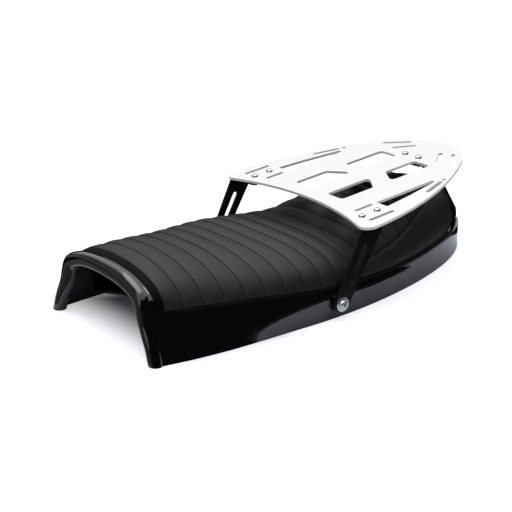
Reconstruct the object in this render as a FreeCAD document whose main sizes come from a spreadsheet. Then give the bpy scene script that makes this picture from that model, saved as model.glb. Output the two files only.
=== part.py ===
import FreeCAD, Part
import math
import os
import Sketcher
from FreeCAD import Placement, Rotation, Vector

# Scrambler seat: a moulded pan with an arched nose, a pleated cushion and a flat luggage rack.
# +X points to the front, +Y to the rider's left, +Z up. Sizes are in millimetres.
# "Back" sizes are measured from the front lip towards the tail.

doc = FreeCAD.newDocument("scrambler_seat")
sheet = doc.addObject("Spreadsheet::Sheet", "dims")

SIZES = [
    # moulded pan
    ("seat_length", 684.0),
    ("pan_half", 147.0),
    ("front_half", 131.0),
    ("front_taper", 150.0),
    ("tail_start", 267.0),
    ("wall", 5.0),
    ("front_lean", 28.0),
    ("lean_run", 250.0),
    ("side_bulge", 3.0),
    ("edge_front", 66.0),
    ("edge_low", 46.0),
    ("edge_low_back", 450.0),
    ("edge_tail", 60.0),
    ("edge_tail_run", 74.0),
    ("collar_crown", 107.0),
    ("collar_run", 30.0),
    ("deck_run", 140.0),
    ("deck_rise", 8.0),
    ("flare_start", 275.0),
    ("flare_top", 42.0),
    ("lip_radius", 10.0),
    ("lip_proud", 4.0),
    ("lip_lean", 4.0),
    # cushion
    ("tail_ledge", 20.0),
    ("cushion_front", 24.0),
    ("cushion_overhang", 1.2),
    ("nose_height", 108.0),
    ("pommel_back", 61.0),
    ("pommel_height", 117.0),
    ("seat_back", 184.0),
    ("seat_height", 107.0),
    ("dip_back", 375.0),
    ("dip_height", 95.0),
    ("step_run", 55.0),
    ("step_height", 113.0),
    ("hump_ahead", 144.0),
    ("hump_height", 138.0),
    ("rear_ahead", 64.0),
    ("rear_height", 124.0),
    ("end_ahead", 14.0),
    ("end_height", 86.0),
    ("tip_rise", 3.0),
    ("pleat_first", 61.0),
    ("pleat_pitch", 30.7),
    ("pleat_depth", 2.2),
    ("pleats_ahead", 68.0),
    ("panel_back", 352.0),
    ("panel_ahead", 52.0),
    ("panel_half", 130.0),
    ("trim_radius", 2.6),
    ("trim_gap", 0.8),
    # base plate, buffers and frame inserts
    ("base_height", 6.0),
    ("base_thick", 4.0),
    ("base_front", 70.0),
    ("base_hollow", 62.0),
    ("buffer_radius", 13.0),
    ("buffer_hollow", 7.0),
    ("buffer_recess", 3.6),
    ("buffer_front", 175.0),
    ("buffer_rear", 470.0),
    ("buffer_half", 88.0),
    ("insert_radius", 6.0),
    ("insert_flange", 11.0),
    ("insert_flange_thick", 2.0),
    ("insert_bore", 3.4),
    ("insert_front", 230.0),
    ("insert_rear", 410.0),
    ("insert_half", 70.0),
    # rack plate
    ("rack_back", 365.0),
    ("rack_height", 131.0),
    ("rack_pitch", 6.5),
    ("rack_thick", 4.0),
    ("rack_overhang", 12.5),
    ("rack_horn", 26.0),
    ("rack_corner", 19.0),
    ("rack_corner_run", 18.0),
    ("rack_bow_run", 144.0),
    ("rack_bow_in", 32.0),
    ("rack_shoulder_run", 250.0),
    ("rack_shoulder_in", 89.0),
    ("rack_end_run", 292.0),
    ("window_inner", 20.0),
    ("window_outer", 55.0),
    ("window_round", 6.0),
    ("front_window_start", 26.0),
    ("front_window_inner_end", 111.0),
    ("front_window_outer_end", 88.0),
    ("rear_window_inner_start", 144.0),
    ("rear_window_outer_start", 123.0),
    ("rear_window_end", 205.0),
    ("wedge_start", 50.0),
    ("wedge_tip", 163.0),
    ("wedge_bend", 100.0),
    ("wedge_inner_in", 66.0),
    ("wedge_outer_in", 42.0),
    ("wedge_bend_in", 48.0),
    ("wedge_tip_in", 64.0),
    ("wedge_round", 2.5),
    ("slot_radius", 3.2),
    ("edge_slot_start", 1.0),
    ("edge_slot_end", 42.0),
    ("edge_slot_in", 23.0),
    ("inner_slot_start", 11.0),
    ("inner_slot_end", 38.0),
    ("inner_slot_in", 65.0),
    ("side_slot_start", 128.0),
    ("side_slot_end", 166.0),
    ("side_slot_start_in", 39.0),
    ("side_slot_end_in", 51.0),
    ("tie_hole_run", 177.0),
    ("tie_hole_in", 54.5),
    ("tail_slot_start", 234.0),
    ("tail_slot_end", 262.0),
    ("tail_slot_start_in", 90.0),
    ("tail_slot_end_in", 120.0),
    ("arc_slot_start", 228.0),
    ("arc_slot_end", 254.0),
    ("arc_slot_start_half", 50.0),
    ("arc_slot_end_half", 30.0),
    # brackets
    ("strip_thick", 4.0),
    ("boss_proud", 5.5),
    ("boss_radius", 15.0),
    ("boss_depth", 16.0),
    ("strip_top_front", 24.0),
    ("strip_top_rear", 20.0),
    ("foot_radius", 13.0),
    ("foot_back", 306.0),
    ("foot_height", 24.0),
    ("strip_slot_radius", 4.5),
    ("strip_slot_top", 27.0),
    ("strip_slot_bottom", 70.0),
    ("tab_front", 14.0),
    ("tab_rear", 54.0),
    ("tab_reach", 42.0),
    ("bend_radius", 3.0),
    ("front_screw_run", 2.0),
    ("rear_screw_run", 31.0),
    ("screw_in", 26.5),
    ("strap_half", 24.0),
    ("strap_tab_start", 204.0),
    ("strap_tab_end", 246.0),
    ("strap_screw_run", 220.0),
    ("strap_screw_half", 15.0),
    ("strap_knee_drop", 107.0),
    ("strap_bolt_drop", 116.0),
    ("strap_foot_drop", 122.5),
    ("strap_taper_drop", 40.0),
    ("leg_half", 14.0),
    ("leg_bolt_half", 7.5),
    ("pad_proud", 8.0),
    ("pad_depth", 28.0),
    # fasteners
    ("screw_radius", 3.0),
    ("screw_head_radius", 5.4),
    ("screw_head_height", 3.3),
    ("screw_socket", 2.0),
    ("nut_radius", 5.8),
    ("nut_height", 5.0),
    ("bolt_radius", 4.0),
    ("bolt_head_radius", 7.0),
    ("bolt_head_height", 4.4),
    ("bolt_socket", 2.6),
    ("bolt_nut_radius", 7.5),
    ("bolt_nut_height", 6.5),
    ("washer_radius", 10.8),
    ("washer_thick", 1.8),
    ("screw_spare", 2.0),
    ("hole_clearance", 0.3),
    ("thread_clearance", 0.1),
]
for row, (alias, value) in enumerate(SIZES, start=1):
    sheet.set("A%d" % row, alias)
    sheet.set("B%d" % row, "%g" % value)
    sheet.setAlias("B%d" % row, alias)
doc.recompute()


def size(name):
    return float(sheet.get(name))


class Expr:
    """A length given both as a number and as the sheet expression that drives it."""

    def __init__(self, value, text):
        self.value = value
        self.text = text

    def __add__(self, other):
        return Expr(self.value + other.value, "(%s + %s)" % (self.text, other.text))

    def __sub__(self, other):
        return Expr(self.value - other.value, "(%s - %s)" % (self.text, other.text))

    def __mul__(self, other):
        return Expr(self.value * other.value, "(%s * %s)" % (self.text, other.text))

    def __truediv__(self, other):
        return Expr(self.value / other.value, "(%s / %s)" % (self.text, other.text))

    def __neg__(self):
        return Expr(-self.value, "(-%s)" % self.text)


def dim(name):
    return Expr(size(name), "dims." + name)


def number(value):
    return Expr(float(value), "%g" % value)


ZERO = number(0)
TWO = number(2)
PITCH_COS = Expr(math.cos(math.radians(size("rack_pitch"))), "cos(dims.rack_pitch * 1 deg)")
PITCH_SIN = Expr(math.sin(math.radians(size("rack_pitch"))), "sin(dims.rack_pitch * 1 deg)")

# Places shared by several pieces.
NOSE = dim("seat_length") / TWO
STRIP_IN = dim("pan_half") + dim("boss_proud")
STRIP_OUT = STRIP_IN + dim("strip_thick")
RACK_HALF = STRIP_OUT + dim("rack_overhang")
SCREW_Y = STRIP_IN - dim("screw_in")
FOOT_AHEAD = dim("rack_back") - dim("foot_back")
FOOT_DROP = dim("rack_height") - dim("foot_height")
FOOT_X = FOOT_AHEAD * PITCH_COS + FOOT_DROP * PITCH_SIN
FOOT_Z = FOOT_AHEAD * PITCH_SIN - FOOT_DROP * PITCH_COS
TAIL_REACH = dim("seat_length") - dim("tail_ledge") + dim("pad_proud") - dim("rack_back")
PAD_X = (TAIL_REACH - dim("strap_bolt_drop") * PITCH_SIN) / PITCH_COS
CUSHION_LENGTH = size("seat_length") - size("tail_ledge")

# Screw lengths: what each one holds, its nut and a little over.
NUT_END = dim("nut_height") + dim("screw_spare")
RACK_SCREW_LENGTH = dim("rack_thick") + dim("strip_thick") + NUT_END
STRAP_BOLT_LENGTH = dim("strip_thick") + dim("pad_depth") + NUT_END
BUFFER_SCREW_LENGTH = dim("base_height") - dim("buffer_recess") + dim("base_thick") + NUT_END
BRACKET_GRIP = dim("washer_thick") + dim("strip_thick") + dim("boss_depth")
BRACKET_BOLT_LENGTH = BRACKET_GRIP + dim("bolt_nut_height") + dim("screw_spare")

# Shares that only shape a curve: a plate corner's bulge, a screw head's crown and its socket.
CORNER_BULGE = number(0.27)
CROWN_WIDTH = number(0.62)
CROWN_BULGE_WIDTH = number(0.9)
CROWN_BULGE_HEIGHT = number(0.62)
SOCKET_DEPTH = number(0.6)


def rack_placement():
    base = Vector(NOSE.value - size("rack_back"), 0, size("rack_height"))
    return Placement(base, Rotation(Vector(0, 1, 0), size("rack_pitch")))


def in_rack_frame(feature):
    """Carry a piece on the rack's own pitched frame."""
    feature.Placement = rack_placement()
    feature.setExpression("Placement.Base.x", (NOSE - dim("rack_back")).text)
    feature.setExpression("Placement.Base.z", "dims.rack_height")
    feature.setExpression("Placement.Rotation.Angle", "dims.rack_pitch * 1 deg")


# Sketch helpers

def new_body(label):
    body = doc.addObject("PartDesign::Body", label)
    body.Label = label
    return body


def new_sketch(body, name, plane):
    sketch = body.newObject("Sketcher::SketchObject", name)
    planes = {item.Role: item for item in body.Origin.OriginFeatures}
    sketch.AttachmentSupport = [(planes[plane], "")]
    sketch.MapMode = "FlatFace"
    return sketch


def drive(sketch, constraint, length):
    index = sketch.addConstraint(constraint)
    sketch.setExpression("Constraints[%d]" % index, length.text)


def pin(sketch, geo, pos, x, y):
    """Fix a sketch point by its two coordinates."""
    for kind, length, axis in (("DistanceX", x, -2), ("DistanceY", y, -1)):
        if length is ZERO:
            sketch.addConstraint(Sketcher.Constraint("PointOnObject", geo, pos, axis))
        else:
            drive(sketch, Sketcher.Constraint(kind, -1, 1, geo, pos, length.value), length)


def flat(x, y):
    return Vector(x.value, y.value, 0)


def add_circle(sketch, x, y, radius):
    geo = sketch.addGeometry(Part.Circle(flat(x, y), Vector(0, 0, 1), radius.value))
    drive(sketch, Sketcher.Constraint("Radius", geo, radius.value), radius)
    pin(sketch, geo, 3, x, y)


def add_slot(sketch, start, end, radius):
    """A straight slot with round ends."""
    a = flat(*start)
    b = flat(*end)
    turn = math.atan2(b.y - a.y, b.x - a.x)
    quarter_turn = math.pi / 2
    out = Vector(-math.sin(turn), math.cos(turn), 0) * radius.value
    upper = sketch.addGeometry(Part.LineSegment(a + out, b + out))
    lower = sketch.addGeometry(Part.LineSegment(b - out, a - out))
    ring_a = Part.Circle(a, Vector(0, 0, 1), radius.value)
    ring_b = Part.Circle(b, Vector(0, 0, 1), radius.value)
    cap_a = sketch.addGeometry(Part.ArcOfCircle(ring_a, turn + quarter_turn, turn + 3 * quarter_turn))
    cap_b = sketch.addGeometry(Part.ArcOfCircle(ring_b, turn - quarter_turn, turn + quarter_turn))
    for first, second in (((upper, 1), (cap_a, 1)), ((upper, 2), (cap_b, 2)),
                          ((lower, 1), (cap_b, 1)), ((lower, 2), (cap_a, 2))):
        sketch.addConstraint(Sketcher.Constraint("Tangent", *first, *second))
    drive(sketch, Sketcher.Constraint("Radius", cap_a, radius.value), radius)
    sketch.addConstraint(Sketcher.Constraint("Equal", cap_a, cap_b))
    pin(sketch, cap_a, 3, *start)
    if abs(a.y - b.y) < 1e-9 and start[1] is end[1]:
        drive(sketch, Sketcher.Constraint("DistanceX", -1, 1, cap_b, 3, b.x), end[0])
        return
    pin(sketch, cap_b, 3, *end)


def add_rounded(sketch, corners, radius):
    """A closed outline of straight sides with one corner radius."""
    points = [flat(*corner) for corner in corners]
    count = len(points)
    lines = []
    arcs = []
    cuts = []
    for i, corner in enumerate(points):
        before = (points[i - 1] - corner).normalize()
        after = (points[(i + 1) % count] - corner).normalize()
        half = before.getAngle(after) / 2
        reach = radius.value / math.tan(half)
        middle = (before + after).normalize() * (radius.value / math.sin(half))
        cuts.append((corner + before * reach, corner + after * reach, corner + middle))
    for i in range(count):
        lines.append(sketch.addGeometry(Part.LineSegment(cuts[i][1], cuts[(i + 1) % count][0])))
    for start, end, centre in cuts:
        toward = ((start + end) * 0.5 - centre).normalize() * radius.value
        arcs.append(sketch.addGeometry(Part.Arc(start, centre + toward, end)))
    for i, arc in enumerate(arcs):
        arc_start = sketch.getPoint(arc, 1)
        flipped = (arc_start - cuts[i][0]).Length > (arc_start - cuts[i][1]).Length
        first, last = (2, 1) if flipped else (1, 2)
        sketch.addConstraint(Sketcher.Constraint("Tangent", lines[i - 1], 2, arc, first))
        sketch.addConstraint(Sketcher.Constraint("Tangent", arc, last, lines[i], 1))
        if i == 0:
            drive(sketch, Sketcher.Constraint("Radius", arc, radius.value), radius)
        else:
            sketch.addConstraint(Sketcher.Constraint("Equal", arcs[0], arc))
    for i, corner in enumerate(corners):
        mark = sketch.addGeometry(Part.Point(points[i]), True)
        pin(sketch, mark, 1, *corner)
        sketch.addConstraint(Sketcher.Constraint("PointOnObject", mark, 1, lines[i - 1]))
        sketch.addConstraint(Sketcher.Constraint("PointOnObject", mark, 1, lines[i]))


def add_polygon(sketch, corners):
    """A closed outline of straight sides with sharp corners."""
    points = [flat(*corner) for corner in corners]
    count = len(points)
    lines = []
    for i in range(count):
        lines.append(sketch.addGeometry(Part.LineSegment(points[i], points[(i + 1) % count])))
    for i in range(count):
        sketch.addConstraint(Sketcher.Constraint("Coincident", lines[i - 1], 2, lines[i], 1))
    for i, corner in enumerate(corners):
        pin(sketch, lines[i], 1, *corner)


def add_curved_outline(sketch, corners, waypoints):
    """A closed outline; a side with a waypoint is the arc through it, the others are straight."""
    count = len(corners)
    sides = []
    for i in range(count):
        a = flat(*corners[i])
        b = flat(*corners[(i + 1) % count])
        if i not in waypoints:
            sides.append((sketch.addGeometry(Part.LineSegment(a, b)), 1, 2))
            continue
        via = waypoints[i]
        geo = sketch.addGeometry(Part.Arc(a, flat(*via), b))
        starts_at_a = (sketch.getPoint(geo, 1) - a).Length < (sketch.getPoint(geo, 2) - a).Length
        sides.append((geo, 1, 2) if starts_at_a else (geo, 2, 1))
        mark = sketch.addGeometry(Part.Point(flat(*via)), True)
        pin(sketch, mark, 1, *via)
        sketch.addConstraint(Sketcher.Constraint("PointOnObject", mark, 1, geo))
    for i in range(count):
        geo, first, last = sides[i]
        following = sides[(i + 1) % count]
        sketch.addConstraint(Sketcher.Constraint("Coincident", geo, last, following[0], following[1]))
        pin(sketch, geo, first, *corners[i])


def add_pad(body, sketch, name, length, reverse=False, both=False):
    pad = body.newObject("PartDesign::Pad", name)
    pad.Profile = sketch
    pad.Length = length.value
    pad.setExpression("Length", length.text)
    pad.Reversed = reverse
    pad.Midplane = both
    return pad


def add_pocket(body, sketch, name, reverse=False, length=None):
    pocket = body.newObject("PartDesign::Pocket", name)
    pocket.Profile = sketch
    pocket.Reversed = reverse
    if length is None:
        pocket.Type = "ThroughAll"
    else:
        pocket.Length = length.value
        pocket.setExpression("Length", length.text)
    return pocket


def add_fillet(body, base, name, edges, radius):
    fillet = body.newObject("PartDesign::Fillet", name)
    fillet.Base = (base, edges)
    fillet.Radius = radius.value
    fillet.setExpression("Radius", radius.text)
    return fillet


def edges_along(shape, direction, accept):
    """Names of the straight edges along a direction whose middle is accepted."""
    names = []
    for index, edge in enumerate(shape.Edges, start=1):
        if edge.Curve.TypeId != "Part::GeomLine":
            continue
        if abs(abs(edge.tangentAt(edge.FirstParameter).dot(direction)) - 1) > 1e-6:
            continue
        if accept(edge.CenterOfMass):
            names.append("Edge%d" % index)
    return names


# Moulded pan and cushion: lofts through arched sections

TAIL_POWER = 1.77
TAIL_ROOT = 0.625
TAPER_POWER = 1.85
TIP_GAP = 0.6
TIP_HALF = 2.0
ARCH_STEPS = 6
FLOOR_CUT = 10.0
LIP_RINGS = 25
TRIM_RINGS = 45
WAIST = 0.42
COLLAR_POWER = 2.4
PAN_POMMEL_POWER = 2.0
PAN_SEAT_POWER = 3.6
POMMEL_POWER = 2.1
SEAT_POWER = 2.8
# Stretches, as (start, run), over which a section changes from one roundness to the next.
PAN_POMMEL = (15, 45)
PAN_SEAT = (100, 120)
POMMEL = (30, 30)
SEAT = (120, 160)
# A pleat's shoulders: their places between two sewn lines, and their share of the depth.
PLEAT_SHOULDERS = (0.3, 0.7)
SHOULDER_DEPTH = 0.3
PLEAT_FADE = 16.0
WALK = 0.5
TAIL_STEPS = 6
NOSE_SHARES = (0.0, 0.12, 0.36, 0.7)


def smooth(share):
    share = min(max(share, 0.0), 1.0)
    return share * share * (3 - 2 * share)


def blend(back, stretch):
    start, run = stretch
    return smooth((back - start) / run)


def plan_half(back, length):
    """Half width of the outline at the floor, from the nose taper to the rounded tail."""
    taper = max(0.0, 1 - back / size("front_taper")) ** TAPER_POWER
    half = size("pan_half") - (size("pan_half") - size("front_half")) * taper
    start = size("tail_start")
    if back <= start:
        return half
    share = min((back - start) / (length - start), 1.0)
    return half * (1 - share ** TAIL_POWER) ** TAIL_ROOT


def lean(back):
    """How far the side has leaned in at the cushion's edge."""
    if back >= size("lean_run"):
        return 0.0
    return size("front_lean") * math.cos(math.pi / 2 * back / size("lean_run"))


def edge_height(back):
    fall = smooth(back / size("edge_low_back"))
    rise = smooth((back - CUSHION_LENGTH + size("edge_tail_run")) / size("edge_tail_run"))
    low = size("edge_low")
    return size("edge_front") + (low - size("edge_front")) * fall + (size("edge_tail") - low) * rise


def deck_height(back):
    deck = edge_height(back) + size("deck_rise")
    sink = smooth((back - size("collar_run")) / size("deck_run"))
    return size("collar_crown") + (deck - size("collar_crown")) * sink


def crown_points():
    end = CUSHION_LENGTH
    dip = size("dip_back")
    return [
        (size("cushion_front"), size("nose_height")),
        (size("pommel_back"), size("pommel_height")),
        (size("seat_back"), size("seat_height")),
        (dip, size("dip_height")),
        (dip + size("step_run"), size("step_height")),
        (end - size("hump_ahead"), size("hump_height")),
        (end - size("rear_ahead"), size("rear_height")),
        (end - size("end_ahead"), size("end_height")),
        (end, size("edge_tail") + size("tip_rise")),
    ]


def crown_height(back):
    """Smooth curve through the crown points that never overshoots them."""
    points = crown_points()
    steps = [(b[1] - a[1]) / (b[0] - a[0]) for a, b in zip(points, points[1:])]
    slopes = [steps[0]]
    for before, after in zip(steps, steps[1:]):
        slopes.append(2 * before * after / (before + after) if before * after > 0 else 0.0)
    slopes.append(steps[-1])
    spans = len(steps)
    span = next((i for i in range(spans) if back <= points[i + 1][0]), spans - 1)
    (start, low), (stop, high) = points[span], points[span + 1]
    run = stop - start
    share = (back - start) / run
    rest = 1 - share
    value = low * (1 + 2 * share) * rest ** 2 + high * share ** 2 * (3 - 2 * share)
    return value + run * share * rest * (slopes[span] * rest - slopes[span + 1] * share)


def arch_points(x, side, half, base, top, power):
    """Points up one side, over a superellipse arch and down the other side."""
    rise = list(side) + [(half, base)]
    for step in range(1, ARCH_STEPS + 1):
        angle = math.pi / 2 * step / ARCH_STEPS
        across = max(math.cos(angle), 0.0) ** (2 / power)
        rise.append((half * across, base + (top - base) * math.sin(angle) ** (2 / power)))
    fall = [(-y, z) for y, z in reversed(rise[:-1])]
    return [Vector(x, y, z) for y, z in rise + fall]


def shared_places(lines):
    """Places from 0 to 1 along several lines of points, by their mean spacing."""
    gaps = []
    for i in range(len(lines[0]) - 1):
        gaps.append(sum((line[i + 1] - line[i]).Length for line in lines))
    places = [0.0]
    for gap in gaps[:-1]:
        places.append(places[-1] + gap / sum(gaps))
    return places + [1.0]


def spline(points, places):
    curve = Part.BSplineCurve()
    curve.interpolate(Points=list(points), Parameters=places)
    return curve


def loft(rows):
    """Solid under a smooth skin through arched sections, closed by flat ends and a ruled floor."""
    columns = list(zip(*rows))
    places = shared_places(columns)
    along = [spline(column, places) for column in columns]
    places = shared_places(rows)
    across = [spline(poles, places) for poles in zip(*[curve.getPoles() for curve in along])]
    skin = Part.BSplineSurface()
    skin.buildFromPolesMultsKnots(
        [curve.getPoles() for curve in across], along[0].getMultiplicities(), across[0].getMultiplicities(),
        along[0].getKnots(), across[0].getKnots(), False, False, along[0].Degree, across[0].Degree)
    faces = [skin.toShape(), Part.makeRuledSurface(skin.vIso(0).toShape(), skin.vIso(1).toShape())]
    for end, row in ((0, rows[0]), (1, rows[-1])):
        faces.append(Part.Face(Part.Wire([skin.uIso(end).toShape(), Part.makeLine(row[-1], row[0])])))
    shell = Part.makeShell(faces)
    shell.sewShape()
    solid = Part.makeSolid(shell)
    if solid.Volume < 0:
        solid.reverse()
    return solid


def pan_power(back):
    """Roundness of the pan's arch: round at the collar, square under the seat."""
    rounder = (PAN_POMMEL_POWER - COLLAR_POWER) * blend(back, PAN_POMMEL)
    squarer = (PAN_SEAT_POWER - PAN_POMMEL_POWER) * blend(back, PAN_SEAT)
    return COLLAR_POWER + rounder + squarer


def dome_power(back):
    """Roundness of the cushion: rounder at the pommel, squarer at the seat."""
    rounder = (POMMEL_POWER - COLLAR_POWER) * blend(back, POMMEL)
    squarer = (SEAT_POWER - POMMEL_POWER) * blend(back, SEAT)
    return COLLAR_POWER + rounder + squarer


def pan_section(back, inset, drop, length):
    half = plan_half(back, length)
    low = half - inset
    high = low - lean(back)
    edge = edge_height(back) - inset / 2
    upright = 1 - lean(back) / size("front_lean")
    bulge = size("side_bulge") * upright * min(1.0, half / size("flare_top"))
    middle = low + (high - low) * WAIST + bulge
    side = [(low, -drop), (middle, edge * WAIST)]
    top = deck_height(back) - inset
    return arch_points(NOSE.value - back, side, high, edge, top, pan_power(back))


def front_stations(start, count):
    """Places from the nose to the tail's start, closer together at the nose."""
    run = size("tail_start") - start
    return [start + run * (step / count) ** 1.5 for step in range(count)]


def tail_stations(length, count, tip):
    """Places along the tail, closer together towards its tip."""
    start = size("tail_start")
    places = []
    for step in range(count):
        places.append(start + (length - start) * math.sin(math.pi / 2 * step / count))
    return places + [length - tip]


def tip_gap(length, inset):
    """How far short of its end a tail stops, so that the last section still has some width."""
    gap = TIP_GAP
    while plan_half(length - gap, length) < inset + TIP_HALF:
        gap += TIP_GAP
    return gap


def pan_solid(inset, drop, ahead):
    length = CUSHION_LENGTH - inset
    places = front_stations(0, 7)
    tip = tip_gap(length, inset)
    rows = [pan_section(back, inset, drop, length) for back in places + tail_stations(length, 9, tip)]
    if ahead:
        rows.insert(0, [point + Vector(ahead, 0, 0) for point in rows[0]])
    return loft(rows)


def plan_curve(length, inset, start, height):
    """Closed outline of the pan's tail half at one height."""
    tip = tip_gap(length, inset)
    places = [start] + tail_stations(length, 9, tip)[1:]
    places = [place for place in places if place >= start]
    left = [Vector(NOSE.value - back, plan_half(back, length) - inset, height) for back in places]
    right = [Vector(point.x, -point.y, height) for point in reversed(left)]
    edges = []
    for points in (left, right):
        curve = Part.BSplineCurve()
        curve.interpolate(points)
        edges.append(curve.toShape())
    edges.insert(1, Part.makeLine(left[-1], right[0]))
    edges.append(Part.makeLine(right[-1], left[0]))
    return Part.Wire(edges)


def flare_solid(inset, start, bottom, top):
    face = Part.Face(plan_curve(size("seat_length") - inset, inset, start, bottom))
    return face.extrude(Vector(0, 0, top - bottom))


def side_prism(points):
    """Prism across the seat with a side-view outline of (back, height) points."""
    width = 2 * RACK_HALF.value
    ring = [Vector(NOSE.value - back, -width / 2, height) for back, height in points]
    face = Part.Face(Part.makePolygon(ring + ring[:1]))
    return face.extrude(Vector(0, width, 0))


def tube(path, radius, count):
    """Round bar along a smooth path, lofted through evenly spread rings."""
    curve = Part.BSplineCurve()
    curve.interpolate(path)
    rings = []
    for place in curve.discretize(Number=count):
        along = curve.tangent(curve.parameter(place))[0]
        rings.append(Part.Wire(Part.makeCircle(radius, place, along)))
    return Part.makeLoft(rings, True, False)


def lip_solid():
    """Rolled lip round the arch, leaning back with its height."""
    radius = size("lip_radius")
    row = pan_section(radius, radius - size("lip_proud"), FLOOR_CUT, CUSHION_LENGTH)
    path = []
    for point in row:
        slope = size("lip_lean") * max(point.z, 0.0) / size("collar_crown")
        path.append(point - Vector(slope, 0, 0))
    return tube(path, radius, LIP_RINGS)


def front_cut():
    """Space ahead of the lip's leaning centre line."""
    radius = size("lip_radius")
    far = 2 * size("collar_crown")
    slope = size("lip_lean") / size("collar_crown")
    return side_prism([(-far, -far), (radius - slope * far, -far), (radius + slope * far, far), (-far, far)])


def side_boss(side, extra):
    """Boss for the bracket bolt, flat outside and inside the wall."""
    out = STRIP_IN.value + extra
    depth = size("boss_depth") + 2 * extra
    at = Vector(NOSE.value - size("foot_back"), side * out, size("foot_height"))
    return at, Vector(0, -side, 0), depth


def tail_pad():
    """Block on the tail's ledge under the foot of the rear strap, square to the rack."""
    half = size("leg_half")
    face = -PAD_X.value
    low = -size("strap_foot_drop") - 2 * size("strip_thick")
    high = -size("strap_knee_drop") - size("strip_thick")
    box = Part.makeBox(size("pad_depth"), 2 * half, high - low, Vector(face, -half, low))
    box.Placement = rack_placement()
    return box


def strap_bolt_axes():
    spots = []
    for side in (1, -1):
        spots.append(Vector(-PAD_X.value, side * size("leg_bolt_half"), -size("strap_bolt_drop")))
    return spots


def shell_shape():
    outer = pan_solid(0, 0, 0).fuse(flare_solid(0, size("flare_start"), 0, size("flare_top")))
    outer = outer.cut(front_cut()).fuse(lip_solid())
    wall = size("wall")
    inner = pan_solid(wall, FLOOR_CUT, FLOOR_CUT + size("collar_run"))
    hollow = inner.fuse(flare_solid(wall, size("flare_start") - wall, -FLOOR_CUT, size("flare_top") - wall))
    shell = outer.cut(hollow.cut(lip_solid()))
    for side in (1, -1):
        at, axis, depth = side_boss(side, 0)
        shell = shell.fuse(Part.makeCylinder(size("boss_radius"), depth, at, axis))
    shell = shell.fuse(tail_pad())
    bolt_hole = size("bolt_radius") + size("hole_clearance")
    for side in (1, -1):
        at, axis, depth = side_boss(side, size("wall"))
        shell = shell.cut(Part.makeCylinder(bolt_hole, depth, at, axis))
    screw_hole = size("screw_radius") + size("hole_clearance")
    for spot in strap_bolt_axes():
        outside = spot - Vector(size("wall"), 0, 0)
        drill = Part.makeCylinder(screw_hole, 2 * size("pad_depth"), outside, Vector(1, 0, 0))
        drill.Placement = rack_placement()
        shell = shell.cut(drill)
    below = 4 * size("lip_radius")
    return shell.cut(side_prism([(-below, 0), (size("seat_length") + below, 0),
                                 (size("seat_length") + below, -below), (-below, -below)]))


def pleat_half(back):
    """Half width of the pleated top, which narrows over the hump to the plain panel's seam."""
    start = size("panel_back")
    end = CUSHION_LENGTH - size("panel_ahead")
    if back <= start:
        return size("seat_length")
    share = min((back - start) / (end - start), 1.0)
    return size("panel_half") * (1 - share ** TAIL_POWER) ** TAIL_ROOT


def dome_section(back, depth):
    """Arched section of the cushion, pulled in by a depth where it is pleated."""
    half = plan_half(back, CUSHION_LENGTH) - lean(back) + size("cushion_overhang")
    base = edge_height(back)
    points = arch_points(NOSE.value - back, [], half, base, crown_height(back), dome_power(back))
    core = Vector(NOSE.value - back, 0, base)
    section = [points[0]]
    for point in points[1:-1]:
        share = smooth((pleat_half(back) - abs(point.y)) / PLEAT_FADE + 0.5)
        section.append(point + (core - point).normalize() * (depth * share))
    return section + [points[-1]]


def pleat_stations():
    """Each sewn line with its depth and the pleat's shoulders, at even steps along the crown."""
    full = size("pleat_depth")
    shares = [(0.0, full)] + [(share, full * SHOULDER_DEPTH) for share in PLEAT_SHOULDERS]
    back = size("pleat_first")
    travelled = 0.0
    stations = []
    while back < CUSHION_LENGTH - size("pleats_ahead"):
        turn, index = divmod(len(stations), len(shares))
        share, depth = shares[index]
        if travelled >= (turn + share) * size("pleat_pitch"):
            stations.append((back, depth))
        else:
            travelled += math.hypot(WALK, crown_height(back + WALK) - crown_height(back))
            back += WALK
    return stations


def dome_stations():
    """Places and depths along the cushion: its nose, its pleats and its plain tail."""
    start = size("cushion_front")
    run = size("pleat_first") - start
    pleats = pleat_stations()
    nose = [(start + run * share, 0.0) for share in NOSE_SHARES]
    last = pleats[-1][0]
    run = CUSHION_LENGTH - TIP_GAP - last
    tail = []
    for step in range(1, TAIL_STEPS + 1):
        tail.append((last + run * math.sin(math.pi / 2 * step / TAIL_STEPS), 0.0))
    return nose + pleats + tail


def dome_solid():
    return loft([dome_section(back, depth) for back, depth in dome_stations()])


def cushion_shape():
    return dome_solid().cut(pan_solid(0, 0, 0))


def trim_path():
    """Just under the cushion's lower edge, from the left of the nose round the tail to the right."""
    under = size("trim_radius") + size("trim_gap")
    places = front_stations(size("cushion_front"), 8) + tail_stations(CUSHION_LENGTH, 14, TIP_GAP)
    left = []
    for back in places[:-3]:
        half = plan_half(back, CUSHION_LENGTH) - lean(back)
        left.append(Vector(NOSE.value - back, half, edge_height(back) - under))
    right = [Vector(point.x, -point.y, point.z) for point in reversed(left)]
    tip = Vector(NOSE.value - CUSHION_LENGTH, 0, edge_height(CUSHION_LENGTH) - under)
    return left + [tip] + right


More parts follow.
